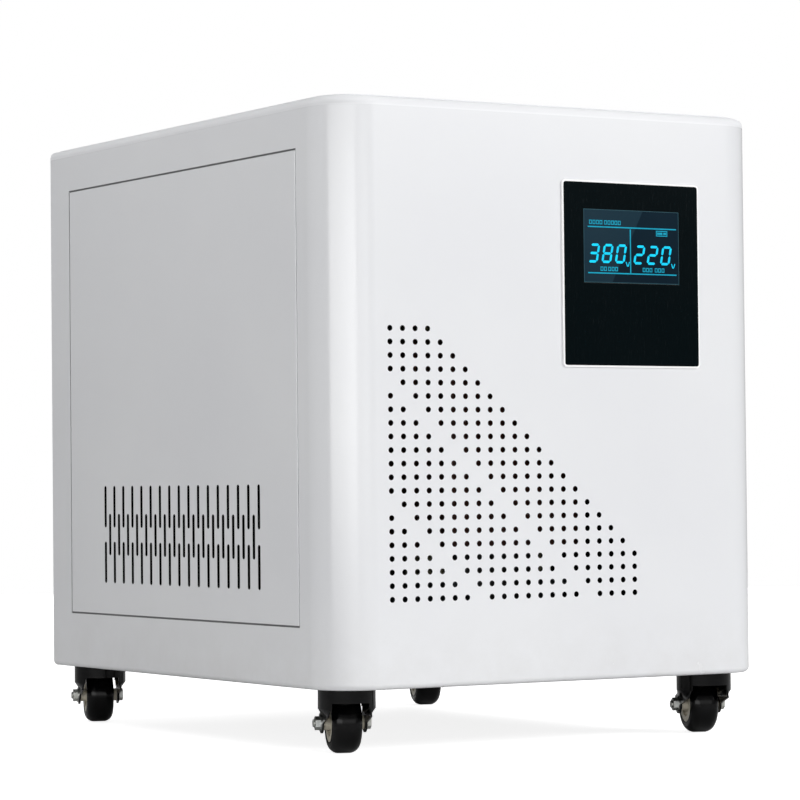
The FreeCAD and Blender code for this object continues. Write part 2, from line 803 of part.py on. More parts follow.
def caster_plate():
    """Square mounting plate with the pressed upper race."""
    half = plate_size / 2
    z0 = caster_height - plate_thickness
    plate = box(-half, half, -half, half, z0, caster_height)
    upright = [edge for edge in plate.Edges if abs(edge.tangentAt(edge.FirstParameter).z) > 0.5]
    plate = plate.makeFillet(plate_corner, upright)
    race = revolved([
        V(race_radius + race_flare, 0, z0),
        V(race_radius, 0, z0 - race_height),
        V(race_radius - race_wall, 0, z0 - race_height),
        V(race_radius + race_flare - race_wall, 0, z0),
    ], UP)
    hole = plate_hole_pitch / 2
    cuts = [rod(V(i * hole, j * hole, z0), UP, plate_bolt_radius + bolt_clearance, plate_thickness)
            for i in (-1, 1) for j in (-1, 1)]
    cuts.append(rod(V(0, 0, z0), UP, king_pin_radius, plate_thickness))
    return plate.fuse(race).cut(cuts)


def king_pin():
    """Rivet that holds the fork up under the plate."""
    head_z = fork_top_z - fork_sheet - seat_gap - king_pin_head_height
    head = rod(V(0, 0, head_z), UP, king_pin_head_radius, king_pin_head_height)
    return head.fuse(rod(V(0, 0, head_z), UP, king_pin_radius, caster_height - head_z))


def fork_cheek():
    """Right cheek: an arc of the skirt drawn in and back to the flat leg that holds the axle."""
    angle = math.radians(cheek_half_angle)
    inner = crown_radius - fork_sheet

    def rim(radius, turn):
        return V(radius * math.cos(turn), radius * math.sin(turn), skirt_z)

    arc_band = Part.Wire([
        Part.Arc(rim(crown_radius, -angle), rim(crown_radius, 0), rim(crown_radius, angle)).toShape(),
        Part.makeLine(rim(crown_radius, angle), rim(inner, angle)),
        Part.Arc(rim(inner, angle), rim(inner, 0), rim(inner, -angle)).toShape(),
        Part.makeLine(rim(inner, -angle), rim(crown_radius, -angle)),
    ])
    outer = fork_width / 2
    flat_band = Part.makePolygon([
        V(outer, fork_leg_front, fork_leg_top),
        V(outer, fork_leg_rear, fork_leg_top),
        V(fork_inner_x, fork_leg_rear, fork_leg_top),
        V(fork_inner_x, fork_leg_front, fork_leg_top),
        V(outer, fork_leg_front, fork_leg_top),
    ])
    shoulder = Part.makeLoft([arc_band, flat_band], True, True)
    leg = Part.Face(Part.makePolygon([
        V(fork_inner_x, fork_leg_front, fork_leg_top),
        V(fork_inner_x, fork_leg_rear, fork_leg_top),
        V(fork_inner_x, caster_trail + fork_tip_radius, wheel_radius),
        V(fork_inner_x, caster_trail - fork_tip_radius, wheel_radius),
        V(fork_inner_x, fork_leg_front, fork_leg_top),
    ])).extrude(V(fork_sheet, 0, 0))
    tip = rod(V(fork_inner_x, caster_trail, wheel_radius), RIGHT, fork_tip_radius, fork_sheet)
    return shoulder.fuse([leg, tip])


def fork():
    """Pressed fork: a round crown with a deep skirt, arched over the wheel, and two cheeks."""
    inner = crown_radius - fork_sheet
    roof = fork_top_z - fork_sheet
    bore = king_pin_radius + running_clearance
    crown = revolved([
        V(bore, 0, fork_top_z),
        V(crown_radius, 0, fork_top_z),
        V(crown_radius, 0, skirt_z),
        V(inner, 0, skirt_z),
        V(inner, 0, roof),
        V(bore, 0, roof),
    ], UP)
    top_rim = [edge for edge in crown.Edges if edge.Closed and abs(edge.CenterOfMass.z - fork_top_z) < 0.01
               and edge.BoundBox.XLength > crown_radius]
    crown = crown.makeFillet(crown_round, top_rim)
    half = arch_half_width
    arch = rod(V(-half, caster_trail, wheel_radius), RIGHT, wheel_radius + wheel_clearance, 2 * half)
    front_arch = box(-half, half, -2 * crown_radius, 0, skirt_z - fork_sheet, skirt_z + front_arch_rise)
    crown = crown.cut(arch).cut(front_arch)
    cheek = fork_cheek()
    axle_hole = rod(V(-fork_width, caster_trail, wheel_radius), RIGHT, axle_radius + screw_clearance,
                    2 * fork_width)
    return crown.fuse([cheek, mirrored(cheek)]).cut(axle_hole)


def axle():
    """Axle bolt through both legs, with its nut on the left."""
    centre = V(0, caster_trail, wheel_radius)
    seat = fork_width / 2
    left_end = seat + axle_nut_height + axle_tail
    shank = rod(centre - RIGHT * left_end, RIGHT, axle_radius, left_end + seat)
    bolt = shank.fuse(hexagon(centre + RIGHT * seat, RIGHT, axle_flats, axle_head_height))
    ring = nut(centre - RIGHT * (seat + axle_nut_height), RIGHT, axle_flats, axle_nut_height,
               axle_radius + running_clearance)
    return [bolt, ring]


def wheel_core():
    """Moulded centre with a hub, a recessed web and a rim for the tyre."""
    half = wheel_width / 2 - wheel_core_inset
    hub_half = fork_inner_x - hub_side_gap
    rim_inner = wheel_core_radius - wheel_rim
    core = revolved([
        V(-hub_half, axle_radius + running_clearance, 0),
        V(-hub_half, hub_radius, 0),
        V(web_recess - half, hub_radius, 0),
        V(web_recess - half, rim_inner, 0),
        V(-half, rim_inner, 0),
        V(-half, wheel_core_radius, 0),
        V(half, wheel_core_radius, 0),
        V(half, rim_inner, 0),
        V(half - web_recess, rim_inner, 0),
        V(half - web_recess, hub_radius, 0),
        V(hub_half, hub_radius, 0),
        V(hub_half, axle_radius + running_clearance, 0),
    ], RIGHT)
    return core.translated(V(0, caster_trail, wheel_radius))


def tyre():
    """Tread with a flat middle and round shoulders."""
    half = wheel_width / 2
    side = half - tread_half_width
    round_radius = (side * side + tread_drop * tread_drop) / (2 * tread_drop)
    start = math.atan2(round_radius - tread_drop, side)
    middle = (start + math.pi / 2) / 2
    arc_x = tread_half_width + round_radius * math.cos(middle)
    arc_r = wheel_radius - round_radius * (1 - math.sin(middle))
    outline = [
        Part.makeLine(V(-half, wheel_core_radius, 0), V(-half, tyre_side_radius, 0)),
        Part.Arc(V(-half, tyre_side_radius, 0), V(-arc_x, arc_r, 0), V(-tread_half_width, wheel_radius, 0)).toShape(),
        Part.makeLine(V(-tread_half_width, wheel_radius, 0), V(tread_half_width, wheel_radius, 0)),
        Part.Arc(V(tread_half_width, wheel_radius, 0), V(arc_x, arc_r, 0), V(half, tyre_side_radius, 0)).toShape(),
        Part.makeLine(V(half, tyre_side_radius, 0), V(half, wheel_core_radius, 0)),
        Part.makeLine(V(half, wheel_core_radius, 0), V(-half, wheel_core_radius, 0)),
    ]
    ring = Part.Face(Part.Wire(outline)).revolve(ORIGIN, RIGHT, 360)
    return ring.translated(V(0, caster_trail, wheel_radius))


def placed(shape, place):
    """Copy of a caster piece turned to its resting swivel angle and set at its place."""
    copy = shape.copy()
    copy.rotate(ORIGIN, UP, caster_rest_angle)
    return copy.translated(place)


def caster_bolts():
    """Bolts and nuts that join the caster plates to the floor sheet."""
    bolts = []
    seat = caster_height - plate_thickness
    for point in caster_bolt_points(0):
        head = hexagon(point + UP * (seat - plate_bolt_head), UP, plate_bolt_flats, plate_bolt_head)
        shank = rod(point + UP * seat, UP, plate_bolt_radius, plate_thickness + base_sheet + plate_bolt_nut + 1)
        ring = nut(point + UP * base_top_z, UP, plate_bolt_flats, plate_bolt_nut,
                   plate_bolt_radius + running_clearance)
        bolts += [head.fuse(shank), ring]
    return bolts


def write_cabinet():
    lengths = wrap_lengths()
    for name, length in lengths.items():
        write(name, [length])
    write("right_wall", [mirrored(lengths["left_wall"])])
    panel = side_panel()
    write("left_side_panel", [panel])
    write("right_side_panel", [mirrored(panel)])
    write("top_lid", [top_lid()])
    write("rear_panel", [rear_panel()])
    write("rear_flanges", rear_flanges())
    write("panel_fixings", panel_fixings())
    write("cover_screws", cover_screws())
    write("base_plate", [base_plate()])
    write("base_rail_front", [base_rail(-1)])
    write("base_rail_rear", [base_rail(1)])


def write_display():
    write("display_plate", [display_plate()])
    write("display_window", [display_window()])
    write("display_board", [display_board()])
    write("display_housing", [display_housing()])
    write("display_screws", display_screws())


def write_rear_fittings():
    for name, (x, z) in zip(("input", "output"), gland_points()):
        write(name + "_gland_body", [gland_body(x, z)])
        write(name + "_gland_nut", [gland_nut(x, z)])
    write("gland_locknuts", gland_locknuts())
    write("earth_stud", [earth_stud()])


def write_transformer():
    write("core_stack", [core_stack_solid()])
    for level, z0 in (("lower", rail_top_z), ("upper", upper_clamp_z)):
        channel = clamp(z0)
        write(level + "_clamps", [channel, mirrored(channel)])
    write("clamp_bolts", clamp_bolts())
    limbs = [core_y + shift for shift in centred(3, limb_pitch)]
    write("inner_windings", [winding(y, limb_gap) for y in limbs])
    write("outer_windings", [winding(y, limb_gap + winding_thickness + duct) for y in limbs])
    write("coil_blocks", coil_blocks())
    write("terminal_board", [terminal_board()])
    write("terminal_studs", terminal_studs())
    write("winding_leads", winding_leads())


def write_casters():
    pieces = {"fork": [fork()], "axle": axle(), "wheel_core": [wheel_core()], "tyre": [tyre()]}
    plate = caster_plate()
    for name, place in caster_places():
        write("caster_" + name + "_plate", [plate.translated(place)])
        for piece, solids in pieces.items():
            write("caster_" + name + "_" + piece, [placed(solid, place) for solid in solids])
    pin = king_pin()
    write("caster_king_pins", [pin.translated(place) for name, place in caster_places()])
    write("caster_bolts", caster_bolts())


os.makedirs("parts", exist_ok=True)
write_cabinet()
write_display()
write_rear_fittings()
write_transformer()
write_casters()
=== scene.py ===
import json
import math

import bmesh
import bpy
from mathutils import Matrix, Vector


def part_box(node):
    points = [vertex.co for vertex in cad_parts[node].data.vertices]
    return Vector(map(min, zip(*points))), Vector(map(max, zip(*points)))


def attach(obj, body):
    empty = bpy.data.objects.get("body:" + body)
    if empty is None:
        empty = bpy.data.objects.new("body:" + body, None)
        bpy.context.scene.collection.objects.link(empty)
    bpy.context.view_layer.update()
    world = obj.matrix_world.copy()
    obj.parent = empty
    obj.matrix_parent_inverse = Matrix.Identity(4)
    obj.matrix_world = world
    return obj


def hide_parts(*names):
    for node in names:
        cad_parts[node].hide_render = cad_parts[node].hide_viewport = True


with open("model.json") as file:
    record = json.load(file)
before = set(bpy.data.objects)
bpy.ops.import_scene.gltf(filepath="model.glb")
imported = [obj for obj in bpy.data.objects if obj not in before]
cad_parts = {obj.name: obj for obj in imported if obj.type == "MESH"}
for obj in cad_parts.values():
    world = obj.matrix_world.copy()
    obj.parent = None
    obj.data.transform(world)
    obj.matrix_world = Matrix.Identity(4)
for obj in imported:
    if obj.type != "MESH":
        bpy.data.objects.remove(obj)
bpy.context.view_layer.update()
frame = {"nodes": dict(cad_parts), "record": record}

# Looks of a dry-type transformer cabinet: white powder-coated sheet steel with a stepped perforation,
# a dark display and four black swivel casters. Metres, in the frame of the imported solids.

MM = 0.001
nodes = frame["nodes"]
collection = bpy.context.scene.collection

# Folded sheet, with the sizes that the solids have
wrap_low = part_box("bottom_rim")[0]
wrap_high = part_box("top_rim")[1]
FRONT_Y = wrap_low.y
SHEET = 1.5 * MM
CORNER = 54 * MM
TOP_ROLL = 8 * MM
BOTTOM_ROLL = 6 * MM
TOP_RETURN = 22 * MM
BOTTOM_RETURN = 9 * MM
REAR_RETURN = 22 * MM
CORNER_STEPS = 40
ROLL_STEPS = 10

# Side openings and their ledges
panel_low, panel_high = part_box("left_side_panel")
PANEL_GAP = 2 * MM
LEDGE_LAP = 14 * MM
LEDGE_WELD = 6 * MM
EDGE_BREAK = 0.35 * MM

# Slots of the side panels and the filters behind them: first and last corner as (y, z)
SLOTS_LOW = (-206 * MM, 159 * MM)
SLOTS_HIGH = (204 * MM, 292 * MM)
FILTER_LOW = (-225 * MM, 151 * MM)
FILTER_HIGH = (223 * MM, 302 * MM)
FILTER_THICK = 1.2 * MM
FILTER_FRAME = 1.6 * MM
FILTER_BAR = 8 * MM

# Countersunk screws of the lid and the rear sheet
lid_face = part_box("top_lid")[1].z
rear_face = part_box("rear_panel")[1].y
SCREW_INSET = 17 * MM
SCREW_HEAD = 3.1 * MM
SCREW_SOCKET = 1.3 * MM
SCREW_DEPTH = 1.2 * MM
SCREW_SIDES = 24
SCREWS_A_SIDE = 4

# Stepped perforation, counted from the lowest row
HOLE_RADIUS = 3.15 * MM
HOLE_PITCH_X = 15.7 * MM
HOLE_PITCH_Z = 14.4 * MM
HOLE_GRID = 21
HOLE_LEFT = wrap_low.x + 70 * MM
HOLE_BOTTOM = wrap_low.z + 95 * MM
HOLES_AHEAD = 3
PLAIN_DIAGONALS = (7, 16)
HOLE_SIDES = 28
HOLE_MARGIN = 6 * MM
HOLES_LOW = HOLE_BOTTOM - HOLE_MARGIN
HOLES_HIGH = HOLE_BOTTOM + (HOLE_GRID - 1) * HOLE_PITCH_Z + HOLE_MARGIN

# Display
plate_low, plate_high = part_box("display_plate")
window_low, window_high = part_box("display_window")
WINDOW_WIDTH = window_high.x - window_low.x
WINDOW_HEIGHT = window_high.z - window_low.z
CUTOUT_GAP = 2 * MM
SCREEN_DOT = 0.9 * MM

CASTERS = ("front_left", "front_right", "rear_left", "rear_right")
WRAP_LENGTHS = ("front_wrap", "left_wall", "right_wall", "top_rim", "bottom_rim")
REPLACED = WRAP_LENGTHS + ("cover_screws",)


class Shade:
    """An output of a node. Python's operators on it add Math nodes."""

    def __init__(self, owner, socket):
        self.owner = owner
        self.socket = socket

    def __add__(self, other):
        return self.owner.maths("ADD", self, other)

    def __radd__(self, other):
        return self.owner.maths("ADD", other, self)

    def __sub__(self, other):
        return self.owner.maths("SUBTRACT", self, other)

    def __rsub__(self, other):
        return self.owner.maths("SUBTRACT", other, self)

    def __mul__(self, other):
        return self.owner.maths("MULTIPLY", self, other)

    def __rmul__(self, other):
        return self.owner.maths("MULTIPLY", other, self)


class NodeTree:
    """The nodes of a material or of the world."""

    def __init__(self, owner):
        owner.use_nodes = True
        self.tree = owner.node_tree
        self.tree.nodes.clear()

    def node(self, kind, settings=None, inputs=None, out=0):
        """Any node: its settings are set first, then its sockets get values or links."""
        new = self.tree.nodes.new(kind)
        for key, value in (settings or {}).items():
            setattr(new, key, value)
        for key, value in (inputs or {}).items():
            self.feed(new.inputs[key], value)
        return Shade(self, new.outputs[out]) if new.outputs else None

    def feed(self, socket, value):
        if isinstance(value, Shade):
            self.tree.links.new(value.socket, socket)
        else:
            socket.default_value = value

    def maths(self, operation, *values):
        """One Math node."""
        return self.node("ShaderNodeMath", {"operation": operation}, dict(enumerate(values)))


class Finish(NodeTree):
    """A material around one Principled shader, which gets the constants on its own sockets."""

    def __init__(self, name, **constants):
        self.material = bpy.data.materials.new(name)
        super().__init__(self.material)
        values = {socket.replace("_", " "): value for socket, value in constants.items()}
        surface = self.node("ShaderNodeBsdfPrincipled", {}, values)
        self.shader = surface.socket.node
        self.node("ShaderNodeOutputMaterial", {}, {"Surface": surface})
        self.place = self.node("ShaderNodeTexCoord", out="Object")

    def set(self, socket, value):
        self.feed(self.shader.inputs[socket], value)

    def noise(self, scale, detail=2, rough=0.5, vector=None):
        return self.node("ShaderNodeTexNoise", {}, {
            "Vector": vector or self.place, "Scale": scale, "Detail": detail, "Roughness": rough})

    def stretched(self, factors):
        """Object coordinates multiplied axis by axis, for streaks and brushed grain."""
        return self.node("ShaderNodeVectorMath", {"operation": "MULTIPLY"}, {0: self.place, 1: factors})

    def axis(self, name):
        return self.node("ShaderNodeSeparateXYZ", {}, {"Vector": self.place}, out=name)

    def ramp(self, value, low, high, start=0.0, end=1.0):
        """value taken from low..high to start..end and held there outside it."""
        return self.node("ShaderNodeMapRange", {"clamp": True}, {
            "Value": value, "From Min": low, "From Max": high, "To Min": start, "To Max": end})

    def band(self, value, low, high, fade):
        """1 between low and high, 0 outside, with a narrow fade inside each end."""
        return self.ramp(value, low, low + fade) * self.ramp(value, high, high - fade)

    def mix(self, factor, first, second):
        """Colour between two colours."""
        return self.node("ShaderNodeMix", {"data_type": "RGBA"}, {0: factor, 6: first, 7: second}, out=2)

    def bump(self, height, depth):
        """Relief of the given depth in metres."""
        relief = self.node("ShaderNodeBump", {}, {"Height": height, "Distance": depth, "Strength": 1.0})
        self.set("Normal", relief)


def rgb(red, green, blue):
    """Shader colour of a colour as a screen shows it, 0 to 255."""
    parts = []
    for part in (red, green, blue):
        part = part / 255
        parts.append(part / 12.92 if part < 0.04045 else ((part + 0.055) / 1.055) ** 2.4)
    return (*parts, 1.0)


# Finishes

def inner_depth(f):
    """Depth of a point below the cabinet's upright faces, with its round front corners, in metres."""
    side = f.maths("MAXIMUM", f.maths("ABSOLUTE", f.axis("X")) - (wrap_high.x - CORNER), 0.0)
    ahead = f.maths("MAXIMUM", (FRONT_Y + CORNER) - f.axis("Y"), 0.0)
    return CORNER - f.maths("SQRT", side * side + ahead * ahead)


def outside_panel(f):
    """Distance of a point beyond the edge of the side panels' outline, negative within it."""
    centre = (panel_low + panel_high) / 2
    half = (panel_high - panel_low) / 2
    beyond_y = f.maths("ABSOLUTE", f.axis("Y") - centre.y) - half.y
    beyond_z = f.maths("ABSOLUTE", f.axis("Z") - centre.z) - half.z
    return f.maths("MAXIMUM", beyond_y, beyond_z)


def painted_shade_mask(f):
    """Painted shade: 1 on the cut edges of holes and slots and on what lies behind the sheet, 0 elsewhere.

    The ledges stay lighter where the seams round the side panels show them; the cut edge at each panel's rear
    seam gets a painted shadow line.
    """
    y = f.axis("Y")
    z = f.axis("Z")
    depth = inner_depth(f)
    seam = f.band(outside_panel(f), 0.0, 2.3 * MM, 0.1 * MM)
    # Painted shadow line: the wall's cut edge behind each panel's rear seam is darkened to 0.45
    painted_seam_shadow = seam * f.ramp(y, panel_high.y + 0.2 * MM, panel_high.y + 0.3 * MM)
    near_seam = f.band(y, panel_low.y - 4.75 * MM, panel_low.y + 0.2 * MM, 0.1 * MM)
    on_ledge = f.ramp(depth, 2 * SHEET + 0.2 * MM, 2 * SHEET + 0.1 * MM)
    lit = on_ledge * f.maths("MAXIMUM", seam * 0.3, near_seam)
    behind = f.ramp(depth, SHEET - 0.25 * MM, SHEET - 0.1 * MM) * (1.0 - lit)
    behind = f.maths("MAXIMUM", behind, painted_seam_shadow * f.ramp(depth, 0.1 * MM, 0.3 * MM, 0.0, 0.45))
    # Painted shade in the holes and slots: their cut edges go dark just below the outer face
    holes = f.band(z, HOLES_LOW, HOLES_HIGH, MM) * f.ramp(y, FRONT_Y + 4 * MM, FRONT_Y + 3 * MM)
    slots = f.band(y, SLOTS_LOW[0], SLOTS_HIGH[0], MM) * f.band(z, SLOTS_LOW[1], SLOTS_HIGH[1], MM)
    punched = f.ramp(depth, 0.02 * MM, 0.05 * MM) * f.maths("MAXIMUM", holes, slots)
    inside = f.maths("MAXIMUM", behind, punched)
    before_rear = f.ramp(y, wrap_high.y - 2 * MM, wrap_high.y - 3 * MM)
    return inside * before_rear * f.band(z, wrap_low.z + 20 * MM, wrap_high.z - 9 * MM, MM)


def cabinet_paint(name, gloss):
    """Satin powder coat: a faint orange peel, slow tone changes, dust low down, and painted shade on cut
    edges and behind the sheet.
    """
    f = Finish(name, Specular_IOR_Level=gloss)
    clouds = f.noise(3.5, 3)
    specks = f.ramp(f.noise(900, 2), 0.70, 0.78)
    dust = f.ramp(f.axis("Z"), 0.16, 0.06) * f.ramp(f.noise(22, 5, 0.65), 0.35, 0.8)
    tone = f.mix(f.ramp(clouds, 0.3, 0.7), rgb(238, 239, 241), rgb(233, 234, 237))
    tone = f.mix(dust * 0.22, tone, rgb(190, 186, 178))
    tone = f.mix(specks * 0.12, tone, rgb(205, 205, 204))
    # Painted shade: near black and metallic on cut edges, seam ledges and inner faces, where the mask is 1
    inside = painted_shade_mask(f)
    f.set("Base Color", f.mix(inside, tone, rgb(8, 8, 9)))
    f.set("Metallic", inside)
    roll = f.ramp(f.axis("Z"), wrap_high.z - 1.3 * TOP_ROLL, wrap_high.z - TOP_ROLL)
    f.set("Roughness", 0.18 + 0.05 * clouds + 0.12 * dust + 0.5 * inside + 0.55 * roll)
    f.bump(f.noise(330, 1), 0.02 * MM)
    return f.material


def chassis_paint():
    """Matt black powder coat with a coarse grain and thin dust."""
    f = Finish("chassis_paint")
    dust = f.ramp(f.noise(14, 5, 0.7), 0.4, 0.75)
    f.set("Base Color", f.mix(dust * 0.35, rgb(40, 40, 41), rgb(92, 89, 84)))
    f.set("Roughness", 0.6 + 0.15 * dust)
    f.bump(f.noise(700, 2), 0.05 * MM)
    return f.material


def zinc_steel():
    """Bright zinc plating with a passivated tint and drawn grain."""
    f = Finish("zinc_steel", Metallic=1.0)
    tint = f.ramp(f.noise(60, 3), 0.35, 0.7)
    f.set("Base Color", f.mix(tint, rgb(196, 198, 196), rgb(176, 176, 168)))
    f.set("Roughness", 0.24 + 0.2 * f.noise(240, 4, 0.6))
    f.bump(f.noise(1, 2, vector=f.stretched((400, 400, 4000))), 0.006 * MM)
    return f.material


def display_fascia():
    """Black gloss fascia with hair scratches and a slight haze."""
    f = Finish("display_fascia", Specular_IOR_Level=0.1)
    hairs = f.ramp(f.noise(1, 3, vector=f.stretched((2600, 60, 90))), 0.62, 0.74)
    haze = f.noise(9, 3)
    f.set("Base Color", f.mix(hairs * 0.3, rgb(2, 10, 13), rgb(24, 31, 33)))
    f.set("Roughness", 0.10 + 0.1 * haze + 0.12 * hairs)
    return f.material


def display_screen():
    """Blue-black screen: a painted reflection as a lighter upper-left sheen, a tone lighter towards the top,
    and a fine dot grid.
    """
    f = Finish("display_screen", Specular_IOR_Level=0.15)
    across = f.ramp(f.axis("X"), window_low.x, window_high.x)
    rise = f.ramp(f.axis("Z"), window_low.z, window_high.z)
    # Painted reflection: a lighter diagonal band over the upper left, a little weaker towards the bottom
    painted_sheen = f.ramp(across - rise * 0.33, 0.297, 0.287)
    fade = f.ramp(rise, 0.0, 1.0, 0.75, 1.0)
    deep = f.mix(rise, rgb(0, 24, 37), rgb(2, 29, 43))
    tone = f.mix(painted_sheen * fade, deep, rgb(23, 49, 62))
    column = f.maths("PINGPONG", across * (WINDOW_WIDTH / SCREEN_DOT), 0.5)
    line = f.maths("PINGPONG", rise * (WINDOW_HEIGHT / SCREEN_DOT), 0.5)
    grid = f.ramp(column, 0.08, 0.0) + f.ramp(line, 0.08, 0.0)
    f.set("Base Color", f.mix(grid * 0.2, tone, rgb(8, 18, 24)))
    f.set("Roughness", 0.16 + 0.08 * f.noise(12, 2))
    return f.material


def lit_marks(name, strength, body, glow):
    """Lit segments or lines of the screen, slightly uneven. body and glow are pairs of colours."""
    f = Finish(name, Roughness=0.4, Specular_IOR_Level=0.1, Emission_Strength=strength)
    uneven = f.ramp(f.noise(90, 2), 0.3, 0.7)
    f.set("Base Color", f.mix(uneven, *body))
    f.set("Emission Color", f.mix(uneven, *glow))
    return f.material


def display_border():
    """Teal edge line of the screen's active area."""
    f = Finish("display_border", Roughness=0.35, Specular_IOR_Level=0.15)
    uneven = f.ramp(f.noise(60, 2), 0.3, 0.7)
    f.set("Base Color", f.mix(uneven, rgb(26, 66, 78), rgb(34, 80, 92)))
    return f.material


def rim_rubber():
    """White soft rim, with a little handling grime."""
    f = Finish("rim_rubber", Specular_IOR_Level=0.3)
    grime = f.ramp(f.noise(60, 4, 0.6), 0.45, 0.8)
    f.set("Base Color", f.mix(grime * 0.15, rgb(254, 254, 254), rgb(214, 212, 206)))
    f.set("Roughness", 0.5 + 0.2 * grime)
    return f.material


def circuit_board():
    """Green solder mask over copper tracks."""
    f = Finish("circuit_board")
    tracks = f.ramp(f.noise(260, 0), 0.49, 0.51)
    f.set("Base Color", f.mix(tracks, rgb(22, 92, 52), rgb(34, 122, 68)))
    f.set("Roughness", 0.35 + 0.15 * tracks)
    f.bump(tracks, 0.04 * MM)
    return f.material


def filter_gauze_and_shade():
    """Black woven filter of 900 threads a metre; its near-black tone is also painted shade seen through the
    slots.
    """
    f = Finish("filter_gauze_and_shade", Specular_IOR_Level=0.05)
    warp = f.maths("PINGPONG", f.axis("Y") * 900.0, 0.5)
    weft = f.maths("PINGPONG", f.axis("Z") * 900.0, 0.5)
    threads = f.maths("MAXIMUM", f.ramp(warp, 0.2, 0.4), f.ramp(weft, 0.2, 0.4))
    f.set("Base Color", f.mix(threads, rgb(1, 1, 1), rgb(7, 7, 7)))
    f.set("Roughness", 0.8 + 0.1 * threads)
    f.bump(threads, 0.1 * MM)
    return f.material


def moulded_plastic(name, dark, light, roughness, grain):
    """Moulded plastic with a spark-eroded grain."""
    f = Finish(name)
    flow = f.noise(24, 3)
    f.set("Base Color", f.mix(f.ramp(flow, 0.3, 0.7), dark, light))
    f.set("Roughness", roughness + 0.12 * flow)
    f.bump(f.noise(grain, 2), 0.03 * MM)
    return f.material


def brass():
    """Turned brass, a little tarnished."""
    f = Finish("brass", Metallic=1.0)
    tarnish = f.ramp(f.noise(120, 4, 0.6), 0.4, 0.75)
    f.set("Base Color", f.mix(tarnish * 0.6, rgb(214, 180, 104), rgb(150, 118, 68)))
    f.set("Roughness", 0.22 + 0.25 * tarnish)
    return f.material


def core_varnish():
    """Edges of stacked laminations under dark varnish."""
    f = Finish("core_varnish")
    sheets = f.node("ShaderNodeTexWave", {"wave_type": "BANDS", "bands_direction": "X"}, {
        "Vector": f.place, "Scale": 320, "Distortion": 1.5, "Detail": 2, "Detail Scale": 3})
    runs = f.ramp(f.noise(10, 5, 0.65), 0.4, 0.7)
    tone = f.mix(sheets, rgb(52, 50, 50), rgb(92, 88, 86))
    f.set("Base Color", f.mix(runs * 0.5, tone, rgb(48, 30, 20)))
    f.set("Roughness", 0.42 + 0.2 * sheets - 0.12 * runs)
    f.bump(sheets, 0.12 * MM)
    return f.material


def clamp_paint():
    """Grey enamel on rolled channels."""
    f = Finish("clamp_paint")
    scale = f.noise(18, 4, 0.6)
    f.set("Base Color", f.mix(f.ramp(scale, 0.35, 0.7), rgb(70, 76, 82), rgb(86, 91, 96)))
    f.set("Roughness", 0.38 + 0.15 * scale)
    f.bump(f.noise(160, 2), 0.06 * MM)
    return f.material


def winding_wrap(name, pale, deep, pitch):
    """Varnished tape wound round a coil, one narrow lap above the next."""
    f = Finish(name)
    lapped = {"wave_type": "BANDS", "bands_direction": "Z", "wave_profile": "SAW"}
    laps = f.node("ShaderNodeTexWave", lapped, {
        "Vector": f.place, "Scale": pitch, "Distortion": 0.6, "Detail": 1})
    weave = f.noise(1, 1, vector=f.stretched((1400, 1400, 1400)))
    pool = f.ramp(f.noise(16, 4, 0.6), 0.35, 0.7)
    f.set("Base Color", f.mix(pool * 0.6 + laps * 0.3, pale, deep))
    f.set("Roughness", 0.3 + 0.2 * weave)
    f.bump(laps + weave * 0.3, 0.25 * MM)
    return f.material


def pressed_board(name, pale, deep):
    """Pressed fibre board, with flecks of fibre."""
    f = Finish(name)
    fibres = f.ramp(f.noise(1, 4, vector=f.stretched((700, 90, 400))), 0.4, 0.7)
    f.set("Base Color", f.mix(fibres, pale, deep))
    f.set("Roughness", 0.55 + 0.15 * fibres)
    f.bump(fibres, 0.05 * MM)
    return f.material


def copper():
    """Drawn copper bar, browned in places."""
    f = Finish("copper", Metallic=1.0)
    bloom = f.ramp(f.noise(45, 4, 0.6), 0.4, 0.7)
    f.set("Base Color", f.mix(bloom, rgb(214, 140, 104), rgb(146, 88, 62)))
    f.set("Roughness", 0.28 + 0.2 * bloom)
    f.bump(f.noise(1, 1, vector=f.stretched((1800, 1800, 60))), 0.01 * MM)
    return f.material


def caster_paint():
    """Gloss black stoved paint with a few scuffs and a little dust."""
    f = Finish("caster_paint", Specular_IOR_Level=0.2)
    scuffs = f.ramp(f.noise(1, 4, 0.7, f.stretched((900, 240, 240))), 0.70, 0.80)
    dust = f.ramp(f.noise(70, 4, 0.65), 0.55, 0.85)
    tone = f.mix(dust * 0.12, rgb(5, 5, 6), rgb(52, 49, 44))
    f.set("Base Color", f.mix(scuffs * 0.4, tone, rgb(80, 80, 80)))
    f.set("Roughness", 0.16 + 0.12 * dust + 0.25 * scuffs)
    f.bump(f.noise(420, 2), 0.01 * MM)
    return f.material


def wheel_core_nylon():
    """Cream moulded wheel centre, with grime in places."""
    f = Finish("wheel_core_nylon")
    flow = f.noise(50, 3)
    grime = f.ramp(f.noise(130, 4, 0.65), 0.5, 0.8)
    tone = f.mix(flow, rgb(226, 219, 202), rgb(204, 197, 180))
    f.set("Base Color", f.mix(grime * 0.3, tone, rgb(96, 92, 82)))
    f.set("Roughness", 0.36 + 0.2 * grime)
    f.bump(f.noise(800, 2), 0.02 * MM)
    return f.material


def tyre_rubber():
    """Polished black tyre with a trace of floor dust and small nicks."""
    f = Finish("tyre_rubber", Specular_IOR_Level=0.2)
    dust = f.ramp(f.noise(90, 5, 0.7), 0.5, 0.85)
    nicks = f.ramp(f.noise(420, 2), 0.70, 0.76)
    f.set("Base Color", f.mix(dust * 0.14, rgb(5, 5, 6), rgb(48, 45, 41)))
    f.set("Roughness", 0.17 + 0.16 * dust)
    f.bump(dust * 0.1 - nicks * 0.5, 0.04 * MM)
    return f.material


